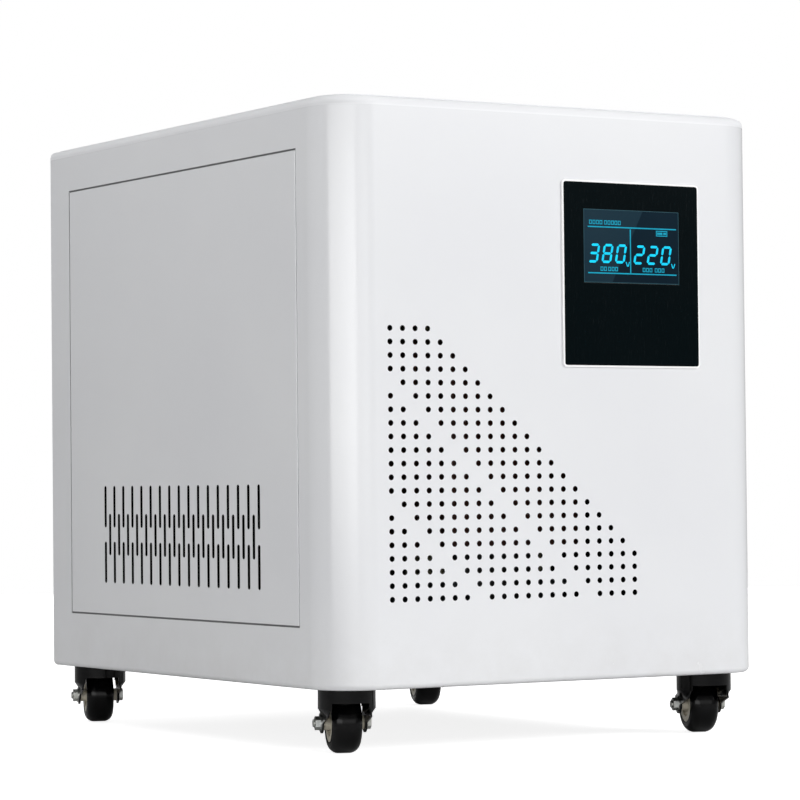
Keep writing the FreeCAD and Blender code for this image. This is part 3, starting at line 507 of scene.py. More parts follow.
FINISHES = {
    "cabinet_paint": cabinet_paint("cabinet_paint", 0.95),
    "chassis_paint": chassis_paint(),
    "zinc_steel": zinc_steel(),
    "display_fascia": display_fascia(),
    "display_screen": display_screen(),
    "circuit_board": circuit_board(),
    "dark_plastic": moulded_plastic("dark_plastic", rgb(34, 34, 36), rgb(46, 46, 48), 0.45, 900),
    "gland_plastic": moulded_plastic("gland_plastic", rgb(26, 26, 27), rgb(38, 38, 39), 0.4, 1200),
    "brass": brass(),
    "core_varnish": core_varnish(),
    "clamp_paint": clamp_paint(),
    "inner_winding_wrap": winding_wrap("inner_winding_wrap", rgb(150, 118, 74), rgb(104, 74, 40), 40),
    "outer_winding_wrap": winding_wrap("outer_winding_wrap", rgb(112, 58, 38), rgb(78, 36, 24), 90),
    "insulation_board": pressed_board("insulation_board", rgb(214, 204, 168), rgb(186, 172, 132)),
    "terminal_resin": pressed_board("terminal_resin", rgb(98, 62, 42), rgb(70, 40, 28)),
    "copper": copper(),
    "caster_paint": caster_paint(),
    "wheel_core_nylon": wheel_core_nylon(),
    "tyre_rubber": tyre_rubber(),
}
LID_PAINT = cabinet_paint("lid_paint", 0.1)
MARKS = lit_marks("display_marks", 0.9, (rgb(0, 120, 150), rgb(0, 140, 170)),
                  (rgb(0, 186, 222), rgb(2, 204, 240)))
RULES = lit_marks("display_rules", 0.68, (rgb(0, 90, 112), rgb(0, 104, 128)),
                  (rgb(0, 150, 178), rgb(2, 168, 196)))
BORDER = display_border()
RIM = rim_rubber()
GAUZE_AND_SHADE = filter_gauze_and_shade()


# Mesh helpers

MERGE_GAP = 0.001 * MM
WASHER_SIDES = 32
THREAD_SIDES = 24
THREAD_DEPTH = 0.3
NUT_ROUND = 0.03


def mesh_object(name, bm):
    """Object in the scene with the mesh of a bmesh, which is used up."""
    mesh = bpy.data.meshes.new(name)
    bm.to_mesh(mesh)
    bm.free()
    new = bpy.data.objects.new(name, mesh)
    collection.objects.link(new)
    return new


def soften(piece, angle):
    """Round-looking curves and flat-looking flats, with edges over angle kept crisp."""
    piece.data.shade_smooth()
    piece.data.set_sharp_from_angle(angle=math.radians(angle))
    even = piece.modifiers.new("even_normals", "WEIGHTED_NORMAL")
    even.keep_sharp = True
    even.weight = 100


def add_piece(name, bm, slot, body="root", finish=None, stands_for=(), smooth=None):
    """Piece that rides on a CAD body, in its slot's finish unless another is given.

    smooth is the angle up to which its edges look round.
    """
    piece = mesh_object(name, bm)
    piece.data.materials.append(finish or FINISHES[slot])
    if smooth:
        soften(piece, smooth)
    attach(piece, body)
    if stands_for:
        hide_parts(*stands_for)


def boolean_cut(bm, cutter):
    """bm less the closed cutter mesh. Both are used up, and the result is a new bmesh."""
    blank = mesh_object("blank", bm)
    tool = mesh_object("tool", cutter)
    cut = blank.modifiers.new("cut", "BOOLEAN")
    cut.operation = "DIFFERENCE"
    cut.solver = "EXACT"
    cut.object = tool
    bpy.context.view_layer.update()
    result = bpy.data.meshes.new_from_object(blank.evaluated_get(bpy.context.evaluated_depsgraph_get()))
    out = bmesh.new()
    out.from_mesh(result)
    for used in (blank, tool):
        bpy.data.objects.remove(used)
    return out


def verts_in(geometry):
    return [part for part in geometry if isinstance(part, bmesh.types.BMVert)]


def edges_in(geometry):
    return [part for part in geometry if isinstance(part, bmesh.types.BMEdge)]


def edges_of(verts):
    """Edges that meet any of the vertices, in a fixed order."""
    return list(dict.fromkeys(edge for vert in verts for edge in vert.link_edges))


def face_outward(bm):
    """Turns every face outward. Returns the mesh."""
    bmesh.ops.recalc_face_normals(bm, faces=bm.faces)
    return bm


def turn_to(axis):
    """Matrix that turns a shape's +Z to an axis."""
    return Vector((0, 0, 1)).rotation_difference(Vector(axis)).to_matrix().to_4x4()


def round_off(bm, geometry, width, segments=2, affect="EDGES"):
    """Rounds edges, or corners where affect is VERTICES. Returns the vertices of the rounds."""
    return bmesh.ops.bevel(bm, geom=geometry, offset=width, offset_type="OFFSET", segments=segments,
                           profile=0.5, affect=affect, material=-1)["verts"]


def add_box(bm, low, high):
    """Box between two opposite corners. Returns its vertices."""
    centre = (Vector(low) + Vector(high)) / 2
    size = [abs(length) for length in Vector(high) - Vector(low)]
    matrix = Matrix.Translation(centre) @ Matrix.Diagonal((*size, 1.0))
    return bmesh.ops.create_cube(bm, size=1.0, matrix=matrix)["verts"]


def frame_bars(low, high, bar):
    """Four bars of a flat frame, each as two corners. low and high are the frame's own corners."""
    (left, bottom), (right, top) = low, high
    yield (left, bottom), (right, bottom + bar)
    yield (left, top - bar), (right, top)
    yield (left, bottom + bar), (left + bar, top - bar)
    yield (right - bar, bottom + bar), (right, top - bar)


def extrude_edges(bm, edges, step):
    """Carries edges along by step and returns the new ones."""
    made = bmesh.ops.extrude_edge_only(bm, edges=edges)["geom"]
    bmesh.ops.translate(bm, vec=step, verts=verts_in(made))
    return edges_in(made)


def spin_edges(bm, edges, centre, axis, degrees, steps):
    """Carries edges round an axis and returns the last ones."""
    made = bmesh.ops.spin(bm, geom=edges, cent=centre, axis=axis, angle=math.radians(degrees), steps=steps,
                          use_merge=False, use_duplicate=False)["geom_last"]
    return edges_in(made)


def turned_ring(bm, profile, centre, axis, sides):
    """Ring about an axis through centre. The profile is a closed outline of (radius, distance along)."""
    axis = Vector(axis).normalized()
    across = axis.orthogonal().normalized()
    verts = [bm.verts.new(Vector(centre) + across * radius + axis * along) for radius, along in profile]
    edges = [bm.edges.new(pair) for pair in zip(verts, verts[1:] + verts[:1])]
    bmesh.ops.spin(bm, geom=edges, cent=centre, axis=axis, angle=2 * math.pi, steps=sides,
                   use_merge=True, use_duplicate=False)


def washer(bm, bore, rim, start, end, centre, axis):
    """Flat washer from start to end along the axis."""
    turned_ring(bm, [(bore, start), (rim, start), (rim, end), (bore, end)], centre, axis, WASHER_SIDES)


def thread_rings(bm, radius, pitch, start, end, centre, axis):
    """Row of sharp ridges round a rod, like its thread, from start to end along the axis."""
    root = radius - pitch * THREAD_DEPTH
    for turn in range(int((end - start) / pitch)):
        low = start + turn * pitch
        ridge = [(root, low), (radius, low + pitch / 2), (root, low + pitch)]
        turned_ring(bm, ridge, centre, axis, THREAD_SIDES)


def hexagon_nut(bm, flats, start, end, centre, axis):
    """Six-sided nut with rounded edges, from start to end along the axis."""
    corner = flats / math.sqrt(3)
    middle = Vector(centre) + Vector(axis).normalized() * (start + end) / 2
    matrix = Matrix.Translation(middle) @ turn_to(axis)
    made = bmesh.ops.create_cone(bm, cap_ends=True, segments=6, radius1=corner, radius2=corner,
                                 depth=end - start, matrix=matrix)["verts"]
    round_off(bm, edges_of(made), flats * NUT_ROUND)


# Folded sheet of the cabinet

LONG_EDGE = 100 * MM
SHARP_EDGE = math.radians(70)


def wrap_profile(bm):
    """Upright section of the sheet's outer face at the rear left: return, roll, wall, roll, return."""
    left = wrap_low.x
    rear = wrap_high.y

    def roll(vert, x, z):
        """Quarter round from vert about (x, z). Returns its last vertex."""
        return bmesh.ops.spin(bm, geom=[vert], cent=(x, rear, z), axis=(0, 1, 0), angle=math.radians(-90),
                              steps=ROLL_STEPS, use_duplicate=False)["geom_last"][0]

    top_end = bm.verts.new((left + TOP_RETURN, rear, wrap_high.z))
    top_bend = bm.verts.new((left + TOP_ROLL, rear, wrap_high.z))
    bm.edges.new((top_end, top_bend))
    wall_top = roll(top_bend, left + TOP_ROLL, wrap_high.z - TOP_ROLL)
    wall_foot = bm.verts.new((left, rear, wrap_low.z + BOTTOM_ROLL))
    bm.edges.new((wall_top, wall_foot))
    bottom_bend = roll(wall_foot, left + BOTTOM_ROLL, wrap_low.z + BOTTOM_ROLL)
    bottom_end = bm.verts.new((left + BOTTOM_RETURN, rear, wrap_low.z))
    bm.edges.new((bottom_bend, bottom_end))
    return list(bm.edges)


def wrap_shell():
    """Outer face of the folded sheet, carried from the rear left round the front to the rear right."""
    bm = bmesh.new()
    depth = wrap_high.y - FRONT_Y - CORNER
    width = wrap_high.x - wrap_low.x - 2 * CORNER
    centre_y = FRONT_Y + CORNER
    rear_left = wrap_profile(bm)
    edges = extrude_edges(bm, rear_left, (0, -depth, 0))
    edges = spin_edges(bm, edges, (wrap_low.x + CORNER, centre_y, 0), (0, 0, 1), 90, CORNER_STEPS)
    edges = extrude_edges(bm, edges, (width, 0, 0))
    edges = spin_edges(bm, edges, (wrap_high.x - CORNER, centre_y, 0), (0, 0, 1), 90, CORNER_STEPS)
    rear_right = extrude_edges(bm, edges, (0, depth, 0))
    for side, ends in ((1, rear_left), (-1, rear_right)):
        upright = [edge for edge in ends if abs(edge.verts[0].co.z - edge.verts[1].co.z) > LONG_EDGE]
        extrude_edges(bm, upright, (side * REAR_RETURN, 0, 0))
    bmesh.ops.remove_doubles(bm, verts=bm.verts, dist=MERGE_GAP)
    return face_outward(bm)


def opening_cutters():
    """Both side openings and the cutout behind the display, as blocks through the sheet."""
    bm = bmesh.new()
    low = (panel_low.y - PANEL_GAP, panel_low.z - PANEL_GAP)
    high = (panel_high.y + PANEL_GAP, panel_high.z + PANEL_GAP)
    for x in (wrap_low.x, wrap_high.x):
        add_box(bm, (x - 2 * SHEET, *low), (x + 2 * SHEET, *high))
    add_box(bm, (window_low.x - CUTOUT_GAP, FRONT_Y - SHEET, window_low.z - CUTOUT_GAP),
            (window_high.x + CUTOUT_GAP, FRONT_Y + 2 * SHEET, window_high.z + CUTOUT_GAP))
    return bm


def punch_places():
    """Centres of the punched holes: the grid below the stair, without its two plain diagonals."""
    for row in range(HOLE_GRID):
        for column in range(min(HOLE_GRID, HOLE_GRID + HOLES_AHEAD - row)):
            if row + column not in PLAIN_DIAGONALS:
                yield HOLE_LEFT + column * HOLE_PITCH_X, HOLE_BOTTOM + row * HOLE_PITCH_Z


def punch_cutters():
    """A rod through the sheet for every hole."""
    bm = bmesh.new()
    for x, z in punch_places():
        matrix = Matrix.Translation((x, FRONT_Y + SHEET / 2, z)) @ Matrix.Rotation(math.pi / 2, 4, "X")
        bmesh.ops.create_cone(bm, cap_ends=True, segments=HOLE_SIDES, radius1=HOLE_RADIUS,
                              radius2=HOLE_RADIUS, depth=3 * SHEET, matrix=matrix)
    return bm


def break_opening_edges(bm):
    """Small rounds along the outer rims of the side openings."""
    rims = []
    for edge in bm.edges:
        ends = [vert.co for vert in edge.verts]
        outside = all(abs(abs(end.x) - wrap_high.x) < MERGE_GAP for end in ends)
        sharp = len(edge.link_faces) == 2 and edge.calc_face_angle(0) > SHARP_EDGE
        if outside and sharp and ends[0].y < wrap_high.y - 0.1 * MM:
            rims.append(edge)
    round_off(bm, rims, EDGE_BREAK)


def wrap_sheet():
    """The folded sheet with its thickness, side openings, display cutout and stepped perforation."""
    bm = wrap_shell()
    bmesh.ops.solidify(bm, geom=list(bm.faces), thickness=SHEET)
    bm = boolean_cut(bm, opening_cutters())
    break_opening_edges(bm)
    return boolean_cut(bm, punch_cutters())


# Pieces behind the side panels

def panel_ledges():
    """Joggled ledges behind both side panels, welded inside the openings."""
    bm = bmesh.new()
    outer = PANEL_GAP + LEDGE_WELD
    low = (panel_low.y - outer, panel_low.z - outer)
    high = (panel_high.y + outer, panel_high.z + outer)
    for side in (-1, 1):
        x = side * (wrap_high.x - 1.5 * SHEET)
        for start, end in frame_bars(low, high, LEDGE_WELD + LEDGE_LAP):
            add_box(bm, (x - SHEET / 2, *start), (x + SHEET / 2, *end))
    return bm


def slot_filters():
    """Dark gauze sheets in thin frames behind the slots of both side panels, near black as painted shade
    behind the slots.
    """
    bm = bmesh.new()
    for side in (-1, 1):
        face = side * (wrap_high.x - 2 * SHEET)
        back = face - side * FILTER_THICK
        add_box(bm, (face, *FILTER_LOW), (back, *FILTER_HIGH))
        for start, end in frame_bars(FILTER_LOW, FILTER_HIGH, FILTER_BAR):
            add_box(bm, (back, *start), (back - side * FILTER_FRAME, *end))
    return bm


# Screws of the covers

def hexagon_socket(bm, place, outward):
    """Flat round screw face with a six-sided socket, centred on place and facing outward."""
    rim = bmesh.ops.create_circle(bm, segments=SCREW_SIDES, radius=SCREW_HEAD)["verts"]
    key = bmesh.ops.create_circle(bm, segments=6, radius=SCREW_SOCKET)["verts"]
    rim_edges = edges_of(rim)
    key_edges = edges_of(key)
    bmesh.ops.triangle_fill(bm, edges=rim_edges + key_edges, use_beauty=True)
    socket = bmesh.ops.extrude_edge_only(bm, edges=key_edges)["geom"]
    floor = verts_in(socket)
    bmesh.ops.translate(bm, vec=(0, 0, -SCREW_DEPTH), verts=floor)
    bmesh.ops.contextual_create(bm, geom=edges_in(socket))
    skirt = verts_in(bmesh.ops.extrude_edge_only(bm, edges=rim_edges)["geom"])
    bmesh.ops.translate(bm, vec=(0, 0, -2 * SCREW_DEPTH), verts=skirt)
    matrix = Matrix.Translation(place) @ turn_to(outward)
    bmesh.ops.transform(bm, matrix=matrix, verts=rim + key + floor + skirt)


def screw_steps(first, last):
    """Even steps of a row of screws."""
    return [first + (last - first) * step / (SCREWS_A_SIDE - 1) for step in range(SCREWS_A_SIDE)]


def lid_screw_places():
    """Screw centres along the sides, the front and the rear of the lid."""
    for y in screw_steps(FRONT_Y + CORNER + SCREW_INSET, rear_face - 3 * SCREW_INSET):
        for x in (wrap_low.x + SCREW_INSET, wrap_high.x - SCREW_INSET):
            yield x, y, lid_face
    reach = wrap_high.x - CORNER - SCREW_INSET
    for x in (-reach, 0, reach):
        for y in (FRONT_Y + SCREW_INSET, rear_face - SCREW_INSET):
            yield x, y, lid_face


def rear_screw_places():
    """Screw centres down both edges of the rear sheet."""
    for z in screw_steps(wrap_low.z + 2 * SCREW_INSET, wrap_high.z - 2 * SCREW_INSET):
        for x in (wrap_low.x + SCREW_INSET, wrap_high.x - SCREW_INSET):
            yield x, rear_face, z


def cover_screw_faces():
    """Flush socket screws of the lid and the rear sheet."""
    bm = bmesh.new()
    for place in lid_screw_places():
        hexagon_socket(bm, place, (0, 0, 1))
    for place in rear_screw_places():
        hexagon_socket(bm, place, (0, 1, 0))
    bmesh.ops.remove_doubles(bm, verts=bm.verts, dist=MERGE_GAP)
    return face_outward(bm)


add_piece("cabinet_wrap", wrap_sheet(), "cabinet_paint", stands_for=WRAP_LENGTHS, smooth=28)
add_piece("panel_ledges", panel_ledges(), "cabinet_paint")
# Near-black filters: a real gauze, partly painted shade behind the slots
add_piece("slot_filters", slot_filters(), "dark_plastic", finish=GAUZE_AND_SHADE)
add_piece("cover_screw_faces", cover_screw_faces(), "zinc_steel", stands_for=("cover_screws",))


# Rear fittings

REARWARD = (0, 1, 0)
GLAND_BORE = 14 * MM
SEAL_BORE = 10 * MM
SEAL_BACK = -9 * MM
SEAL_FACE = -2 * MM
SEAL_SIDES = 48
EARTH_RADIUS = 4 * MM
EARTH_PITCH = 1.25 * MM
EARTH_SEATS = (1.2 * MM, 9.6 * MM)
EARTH_WASHER = 8 * MM
EARTH_WASHER_THICK = 1.4 * MM
EARTH_NUT_FLATS = 13 * MM
EARTH_NUT_HEIGHT = 6.5 * MM


def gland_seals():
    """Rubber seal rings seen in the mouths of the cable glands."""
    profile = [
        (GLAND_BORE, SEAL_BACK), (SEAL_BORE, SEAL_BACK), (SEAL_BORE, SEAL_FACE - 2.5 * MM),
        (SEAL_BORE + 0.6 * MM, SEAL_FACE - 1.2 * MM), (GLAND_BORE - 1.6 * MM, SEAL_FACE),
        (GLAND_BORE - 0.8 * MM, SEAL_FACE + 0.2 * MM), (GLAND_BORE, SEAL_FACE),
    ]
    bm = bmesh.new()
    for name in ("input_gland_nut", "output_gland_nut"):
        low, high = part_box(name)
        mouth = (low + high) / 2
        mouth.y = high.y
        turned_ring(bm, profile, mouth, REARWARD, SEAL_SIDES)
    return face_outward(bm)


def earth_fittings():
    """Two washers, two nuts and the thread of the earth stud."""
    low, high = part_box("earth_stud")
    foot = (low + high) / 2
    foot.y = low.y
    thread_end = high.y - low.y - 0.6 * MM
    bm = bmesh.new()
    thread_rings(bm, EARTH_RADIUS + 0.2 * MM, EARTH_PITCH, 1.5 * MM, thread_end, foot, REARWARD)
    for seat in EARTH_SEATS:
        nut_seat = seat + EARTH_WASHER_THICK
        washer(bm, EARTH_RADIUS, EARTH_WASHER, seat, nut_seat, foot, REARWARD)
        hexagon_nut(bm, EARTH_NUT_FLATS, nut_seat, nut_seat + EARTH_NUT_HEIGHT, foot, REARWARD)
    return face_outward(bm)


add_piece("gland_seals", gland_seals(), "gland_plastic", smooth=30)
add_piece("earth_fittings", earth_fittings(), "brass", smooth=30)


# Casters

WHEEL_REST = math.radians(-20)
AXLE = Vector((math.cos(WHEEL_REST), math.sin(WHEEL_REST), 0))
AXLE_RADIUS = 4 * MM
AXLE_PITCH = 1.0 * MM
AXLE_WASHER = 8.4 * MM
AXLE_WASHER_THICK = 1.2 * MM
FORK_SEAT = 24.5 * MM
AXLE_END = FORK_SEAT + 8.5 * MM
HUB_RADIUS = 7.5 * MM
RIM_INNER = 14.5 * MM
WEB_FACE = 8.75 * MM
RIB_FACE = 13.55 * MM
RIBS = 8
RIB_HALF = 0.8 * MM
RIB_SINK = 0.5 * MM
RIB_ROUND = 0.3 * MM
BEAD_RADII = (22 * MM, 24.6 * MM)
BEAD_FOOT = 15.8 * MM
BEAD_TOP = 16.3 * MM
BEAD_SIDES = 64


def wheel_ribs(centre):
    """Ribs between hub and rim on both sides of a wheel's web."""
    bm = bmesh.new()
    for side in (-1, 1):
        for rib in range(RIBS):
            verts = add_box(bm, (side * WEB_FACE, -RIB_HALF, HUB_RADIUS - RIB_SINK),
                            (side * RIB_FACE, RIB_HALF, RIM_INNER + RIB_SINK))
            verts = round_off(bm, edges_of(verts), RIB_ROUND)
            bmesh.ops.transform(bm, matrix=Matrix.Rotation(2 * math.pi * rib / RIBS, 4, "X"), verts=verts)
    place = Matrix.Translation(centre) @ Matrix.Rotation(WHEEL_REST, 4, "Z")
    bmesh.ops.transform(bm, matrix=place, verts=bm.verts)
    return face_outward(bm)


def tyre_beads(centre):
    """Raised moulding rings on both sides of a tyre."""
    bm = bmesh.new()
    for side in (-1, 1):
        foot = side * BEAD_FOOT
        top = side * BEAD_TOP
        for radius in BEAD_RADII:
            bead = [(radius - 0.5 * MM, foot), (radius - 0.3 * MM, top),
                    (radius + 0.3 * MM, top), (radius + 0.5 * MM, foot)]
            turned_ring(bm, bead, centre, AXLE, BEAD_SIDES)
    return face_outward(bm)


def axle_fittings(centre):
    """Washers under an axle's head and nut, and the thread on its end."""
    bm = bmesh.new()
    for side in (-1, 1):
        far = side * (FORK_SEAT + AXLE_WASHER_THICK)
        washer(bm, AXLE_RADIUS, AXLE_WASHER, side * FORK_SEAT, far, centre, AXLE)
    thread_rings(bm, AXLE_RADIUS + 0.12 * MM, AXLE_PITCH, -AXLE_END, -AXLE_END + 2 * MM, centre, AXLE)
    return face_outward(bm)


def build_caster(name):
    """Ribs and beads that turn with the wheel, and fittings that swivel with the fork."""
    wheel = name + "_wheel"
    low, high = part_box(wheel + "_core")
    centre = (low + high) / 2
    add_piece(wheel + "_ribs", wheel_ribs(centre), "wheel_core_nylon", wheel, smooth=40)
    add_piece(wheel + "_beads", tyre_beads(centre), "tyre_rubber", wheel, smooth=50)
    add_piece(name + "_fittings", axle_fittings(centre), "zinc_steel", name + "_swivel", smooth=30)


for corner in CASTERS:
    build_caster("caster_" + corner)


# Display

FIGURE_FRONT = window_low.y - 0.12 * MM
RULE_FRONT = window_low.y - 0.08 * MM
BORDER_FRONT = window_low.y - 0.06 * MM
BORDER_WIDTH = 0.7 * MM
RIM_REACH = 2.0 * MM
RIM_CORNER = 4.5 * MM
RIM_LAP = 0.1 * MM
RIM_HEIGHT = 2.0 * MM

# Seven-segment figures. A field starts a little before its first digit, and the gap after its last
# digit runs past it
SEGMENTS_LIT = {"0": "abcdef", "2": "abdeg", "3": "abcdg", "8": "abcdefg"}
FIGURE_SLANT = 0.19
STROKE = 2.75 * MM
SEGMENT_GAP = 0.35 * MM
DIGIT_GAP = 4.9 * MM
FIELD_START = 1.2 * MM
FIELD_PAST = 2.2 * MM

# Lines and signs of the screen, as shares of its width from the left and of its height from the top
LINE = 0.011
LEVEL_HALF = 0.75 * LINE
LEVEL_LINES = (0.24, 0.87)
LEVEL_ENDS = (0.043, 0.973)
MIDDLE_LINE = 0.487
MIDDLE_ENDS = (0.26, 0.86)
STATUS_FIELD = (0.759, 0.264, 0.879, 0.342)
STATUS_LINE = 0.008
STATUS_BARS = ((0.771, 0.827), (0.837, 0.867))
STATUS_BAR_ENDS = (0.288, 0.318)
CELL_WIDTH = 0.029
CELL_HEIGHT = 0.058
CELL_PITCH = 0.036
CELL_LINE = 0.007
CELL_ROWS = (
    (0.172, 0.782, 2), (0.252, 0.782, 3), (0.614, 0.782, 3), (0.742, 0.782, 3),
    (0.058, 0.148, 4), (0.214, 0.148, 5),
)
UNIT_HEIGHT = 0.062
UNIT_SPREAD = 0.0105
UNIT_HALF_STROKE = 0.004
UNIT_LEAN = 0.36


def on_screen(across, down):
    """Point (x, z) of the screen, from shares of its width and of its height down from the top."""
    return window_low.x + across * WINDOW_WIDTH, window_high.z - down * WINDOW_HEIGHT


def flat_mark(bm, left, top, right, bottom, front, lean=0.0):
    """Thin raised mark on the screen. Its upper edge leans right by lean times its height."""
    x0, z1 = on_screen(left, top)
    x1, z0 = on_screen(right, bottom)
    middle = (z0 + z1) / 2
    for vert in add_box(bm, (x0, front, z0), (x1, window_low.y, z1)):
        vert.co.x += (vert.co.z - middle) * lean


def segment_bar(bm, start, end):
    """One lit segment: a bar with pointed ends between two points (x, z). Returns its vertices."""
    along = (Vector(end) - Vector(start)).normalized()
    start = Vector(start) + along * SEGMENT_GAP
    end = Vector(end) - along * SEGMENT_GAP
    tip = along * (STROKE / 2)
    across = Vector((-along.y, along.x)) * (STROKE / 2)
    outline = [start, start + tip + across, end - tip + across, end, end - tip - across, start + tip - across]
    back = [bm.verts.new((x, 0, z)) for x, z in outline]
    front = verts_in(bmesh.ops.extrude_face_region(bm, geom=[bm.faces.new(back)])["geom"])
    bmesh.ops.translate(bm, vec=(0, FIGURE_FRONT - window_low.y, 0), verts=front)
    return back + front


def figure(bm, digits, left, right, top, bottom):
    """Slanted seven-segment figure that fills a field of the screen."""
    x0, z1 = on_screen(left, top)
    x1, z0 = on_screen(right, bottom)
    height = z1 - z0
    pitch = (x1 - x0 - FIGURE_SLANT * height + FIELD_PAST) / len(digits)
    w = pitch - DIGIT_GAP - STROKE
    h = (height - STROKE) / 2
    ends = {
        "a": ((0, 2 * h), (w, 2 * h)), "b": ((w, 2 * h), (w, h)), "c": ((w, h), (w, 0)),
        "d": ((0, 0), (w, 0)), "e": ((0, h), (0, 0)), "f": ((0, 2 * h), (0, h)), "g": ((0, h), (w, h)),
    }
    for place, digit in enumerate(digits):
        foot = Vector((x0 + place * pitch + FIELD_START + STROKE / 2, window_low.y, z0 + STROKE / 2))
        for segment in SEGMENTS_LIT[digit]:
            for vert in segment_bar(bm, *ends[segment]):
                vert.co.x += vert.co.z * FIGURE_SLANT
                vert.co += foot


def unit_mark(bm, across, down):
    """Small letter V beside a figure, made of two leaning strokes."""
    for side in (-1, 1):
        centre = across + side * UNIT_SPREAD
        flat_mark(bm, centre - UNIT_HALF_STROKE, down, centre + UNIT_HALF_STROKE, down + UNIT_HEIGHT,
                  FIGURE_FRONT, side * UNIT_LEAN)


def screen_figures():
    """The two lit figures and their units."""
    bm = bmesh.new()
    figure(bm, "380", 0.031, 0.467, 0.470, 0.732)
    figure(bm, "220", 0.506, 0.942, 0.474, 0.738)
    unit_mark(bm, 0.457, 0.708)
    unit_mark(bm, 0.938, 0.716)
    return face_outward(bm)


def ring_mark(bm, left, top, right, bottom, line):
    """Outline of a field. line is the width of its strokes as a share of the screen's width."""
    tall = line * WINDOW_WIDTH / WINDOW_HEIGHT
    flat_mark(bm, left, top, right, top + tall, RULE_FRONT)
    flat_mark(bm, left, bottom - tall, right, bottom, RULE_FRONT)
    flat_mark(bm, left, top + tall, left + line, bottom - tall, RULE_FRONT)
    flat_mark(bm, right - line, top + tall, right, bottom - tall, RULE_FRONT)


def screen_rules():
    """Field lines, a plain status field and rows of empty cells where the screen has captions."""
    bm = bmesh.new()
    for down in LEVEL_LINES:
        flat_mark(bm, LEVEL_ENDS[0], down - LEVEL_HALF, LEVEL_ENDS[1], down + LEVEL_HALF, RULE_FRONT)
    flat_mark(bm, MIDDLE_LINE - LINE / 2, MIDDLE_ENDS[0], MIDDLE_LINE + LINE / 2, MIDDLE_ENDS[1], RULE_FRONT)
    ring_mark(bm, *STATUS_FIELD, STATUS_LINE)
    for left, right in STATUS_BARS:
        flat_mark(bm, left, STATUS_BAR_ENDS[0], right, STATUS_BAR_ENDS[1], RULE_FRONT)
    for left, top, count in CELL_ROWS:
        for cell in range(count):
            start = left + cell * CELL_PITCH
            ring_mark(bm, start, top, start + CELL_WIDTH, top + CELL_HEIGHT, CELL_LINE)
    return bm


def screen_border():
    """Thin flat frame along the screen's edges."""
    bm = bmesh.new()
    low = (window_low.x, window_low.z)
    high = (window_high.x, window_high.z)
    for (x0, z0), (x1, z1) in frame_bars(low, high, BORDER_WIDTH):
        add_box(bm, (x0, BORDER_FRONT, z0), (x1, window_low.y, z1))
    return bm


def fascia_rim():
    """Narrow soft rim pressed between the fascia and the sheet."""
    bm = bmesh.new()
    centre = (plate_low + plate_high) / 2
    width = plate_high.x - plate_low.x + 2 * RIM_REACH
    height = plate_high.z - plate_low.z + 2 * RIM_REACH
    matrix = Matrix.Translation((centre.x, FRONT_Y, centre.z)) @ Matrix.Rotation(math.pi / 2, 4, "X")
    matrix = matrix @ Matrix.Diagonal((width, height, 1.0, 1.0))
    verts = bmesh.ops.create_grid(bm, x_segments=1, y_segments=1, size=0.5, matrix=matrix)["verts"]
    round_off(bm, verts, RIM_CORNER, segments=8, affect="VERTICES")
    inner = list(bm.faces)
    ring = bmesh.ops.inset_region(bm, faces=inner, thickness=RIM_REACH + RIM_LAP, use_boundary=True,
                                  use_even_offset=True)["faces"]
    bmesh.ops.delete(bm, geom=inner, context="FACES")
    raised = verts_in(bmesh.ops.extrude_face_region(bm, geom=ring)["geom"])
    bmesh.ops.translate(bm, vec=(0, -RIM_HEIGHT, 0), verts=raised)
    return face_outward(bm)


add_piece("fascia_rim", fascia_rim(), "display_fascia", finish=RIM)
add_piece("screen_figures", screen_figures(), "display_screen", finish=MARKS)
add_piece("screen_rules", screen_rules(), "display_screen", finish=RULES)
add_piece("screen_border", screen_border(), "display_screen", finish=BORDER)


# Finish and edges of each CAD node, with edge rounds in millimetres

EDGE_ROUNDS = {
    "display_screen": 0.08, "circuit_board": 0.1, "cabinet_paint": 0.12, "zinc_steel": 0.18, "brass": 0.2,
    "caster_paint": 0.35, "chassis_paint": 0.4, "dark_plastic": 0.4, "copper": 0.4, "clamp_paint": 0.5,
    "inner_winding_wrap": 0.5, "outer_winding_wrap": 0.5, "terminal_resin": 0.5,
}
USUAL_ROUND = 0.3
PANEL_ROUND = 0.7
SIDE_PANELS = (nodes["left_side_panel"], nodes["right_side_panel"])
WELD_GAP = 0.002 * MM
FLAT_ANGLE = math.radians(0.5)
ROUNDED_ANGLE = math.radians(33)


def dress(node, slot):
    """Finish of a CAD node, with its triangles joined and its sharp edges slightly rounded."""
    panel = node in SIDE_PANELS
    node.data.materials.clear()
    node.data.materials.append(LID_PAINT if node == nodes["top_lid"] else FINISHES[slot])
    node.data.shade_smooth()
    weld = node.modifiers.new("weld", "WELD")
    weld.merge_threshold = WELD_GAP
    flats = node.modifiers.new("flats", "DECIMATE")
    flats.decimate_type = "DISSOLVE"
    flats.angle_limit = FLAT_ANGLE
    edges = node.modifiers.new("edges", "BEVEL")
    edges.limit_method = "ANGLE"
    edges.angle_limit = ROUNDED_ANGLE
    edges.width = (PANEL_ROUND if panel else EDGE_ROUNDS.get(slot, USUAL_ROUND)) * MM
    edges.segments = 2
    edges.use_clamp_overlap = not panel
    edges.loop_slide = not panel
    even = node.modifiers.new("even_normals", "WEIGHTED_NORMAL")
    even.weight = 100


for row in frame["record"]["subparts"]:
    if row["node"] not in REPLACED:
        dress(nodes[row["node"]], row["material_slot"])


# Studio

FLOOR_RADIUS = 5
FLOOR_TONE = 0.72
FLOOR_LIFT = 0.845
WORLD_LIGHT = 0.2


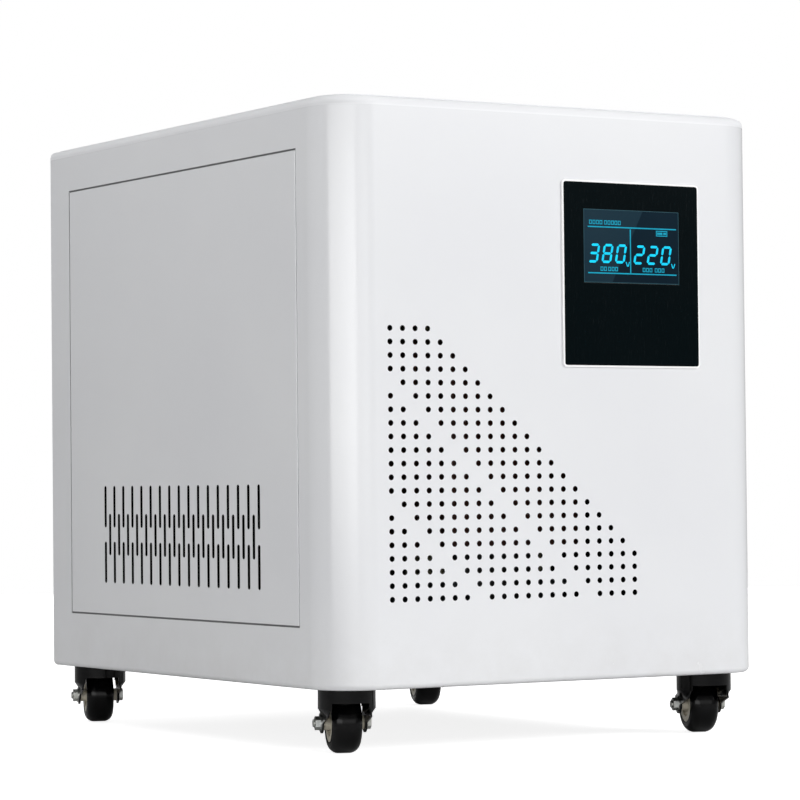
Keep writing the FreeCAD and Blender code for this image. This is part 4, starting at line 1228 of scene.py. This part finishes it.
def studio_floor():
    """Pale floor that reads white to the camera and keeps the object's shadow."""
    bm = bmesh.new()
    bmesh.ops.create_circle(bm, cap_ends=True, segments=96, radius=FLOOR_RADIUS)
    floor = mesh_object("studio_floor", bm)
    material = bpy.data.materials.new("studio_floor")
    tree = NodeTree(material)
    paper = tree.node("ShaderNodeBsdfDiffuse", {}, {"Color": (FLOOR_TONE, FLOOR_TONE, FLOOR_TONE, 1)})
    seen = tree.node("ShaderNodeLightPath", out="Is Camera Ray")
    lift = tree.node("ShaderNodeEmission", {}, {"Strength": seen * FLOOR_LIFT})
    both = tree.node("ShaderNodeAddShader", {}, {0: paper, 1: lift})
    tree.node("ShaderNodeOutputMaterial", {}, {"Surface": both})
    floor.data.materials.append(material)


def studio_world():
    """White surroundings to the camera, and a dim even light on the object."""
    world = bpy.data.worlds.new("studio")
    bpy.context.scene.world = world
    tree = NodeTree(world)
    seen = tree.node("ShaderNodeLightPath", out="Is Camera Ray")
    level = tree.node("ShaderNodeMapRange", {}, {"Value": seen, "To Min": WORLD_LIGHT, "To Max": 1.0})
    sky = tree.node("ShaderNodeBackground", {}, {"Color": (1, 1, 1, 1), "Strength": level})
    tree.node("ShaderNodeOutputWorld", {}, {"Surface": sky})


def area_lamp(name, place, aim, size, power):
    """Soft box at place, facing aim."""
    data = bpy.data.lights.new(name, "AREA")
    data.shape = "RECTANGLE"
    data.size = size[0]
    data.size_y = size[1]
    data.energy = power
    lamp = bpy.data.objects.new(name, data)
    collection.objects.link(lamp)
    lamp.location = place
    lamp.rotation_euler = (Vector(aim) - Vector(place)).to_track_quat("-Z", "Y").to_euler()


def photo_camera():
    """Camera at the photograph's place, fitted from the cabinet's edges and corners."""
    place = Vector((-1.9905, -3.2930, 0.2866))
    yaw = math.radians(31.334)
    pitch = math.radians(1.498)
    roll = math.radians(-0.568)
    ahead = Vector((math.sin(yaw) * math.cos(pitch), math.cos(yaw) * math.cos(pitch), math.sin(pitch)))
    right = Vector((math.cos(yaw), -math.sin(yaw), 0))
    up = right.cross(ahead)
    rolled = right * math.cos(roll) + up * math.sin(roll)
    top = rolled.cross(ahead)
    data = bpy.data.cameras.new("photo_camera")
    data.lens = 145.89
    data.sensor_width = 36
    data.clip_end = 100
    camera = bpy.data.objects.new("photo_camera", data)
    collection.objects.link(camera)
    camera.matrix_world = Matrix.Translation(place) @ Matrix((rolled, top, -ahead)).transposed().to_4x4()
    bpy.context.scene.camera = camera


studio_floor()
studio_world()
area_lamp("key_box", (5.2, -6.8, 3.9), (0, -0.36, 0.35), (2.6, 2.6), 494)
area_lamp("corner_strip", (-3.44, -3.06, 0.68), (-0.23, -0.3, 0.5), (5.0, 1.1), 55)
area_lamp("corner_fill", (-0.61, -4.68, 0.68), (-0.23, -0.3, 0.5), (2.4, 1.1), 9)
area_lamp("side_box", (-1.3, 0.2, 1.9), (-0.28, 0.1, 0.6), (1.0, 1.0), 8.5)
area_lamp("top_box", (-0.6, -1.2, 5.2), (0, 0, 0.7), (2.6, 2.6), 30)
area_lamp("back_box", (3.6, 4.8, 2.8), (0, 0, 0.35), (2.4, 2.4), 90)
photo_camera()
bpy.context.scene.view_settings.view_transform = "Standard"
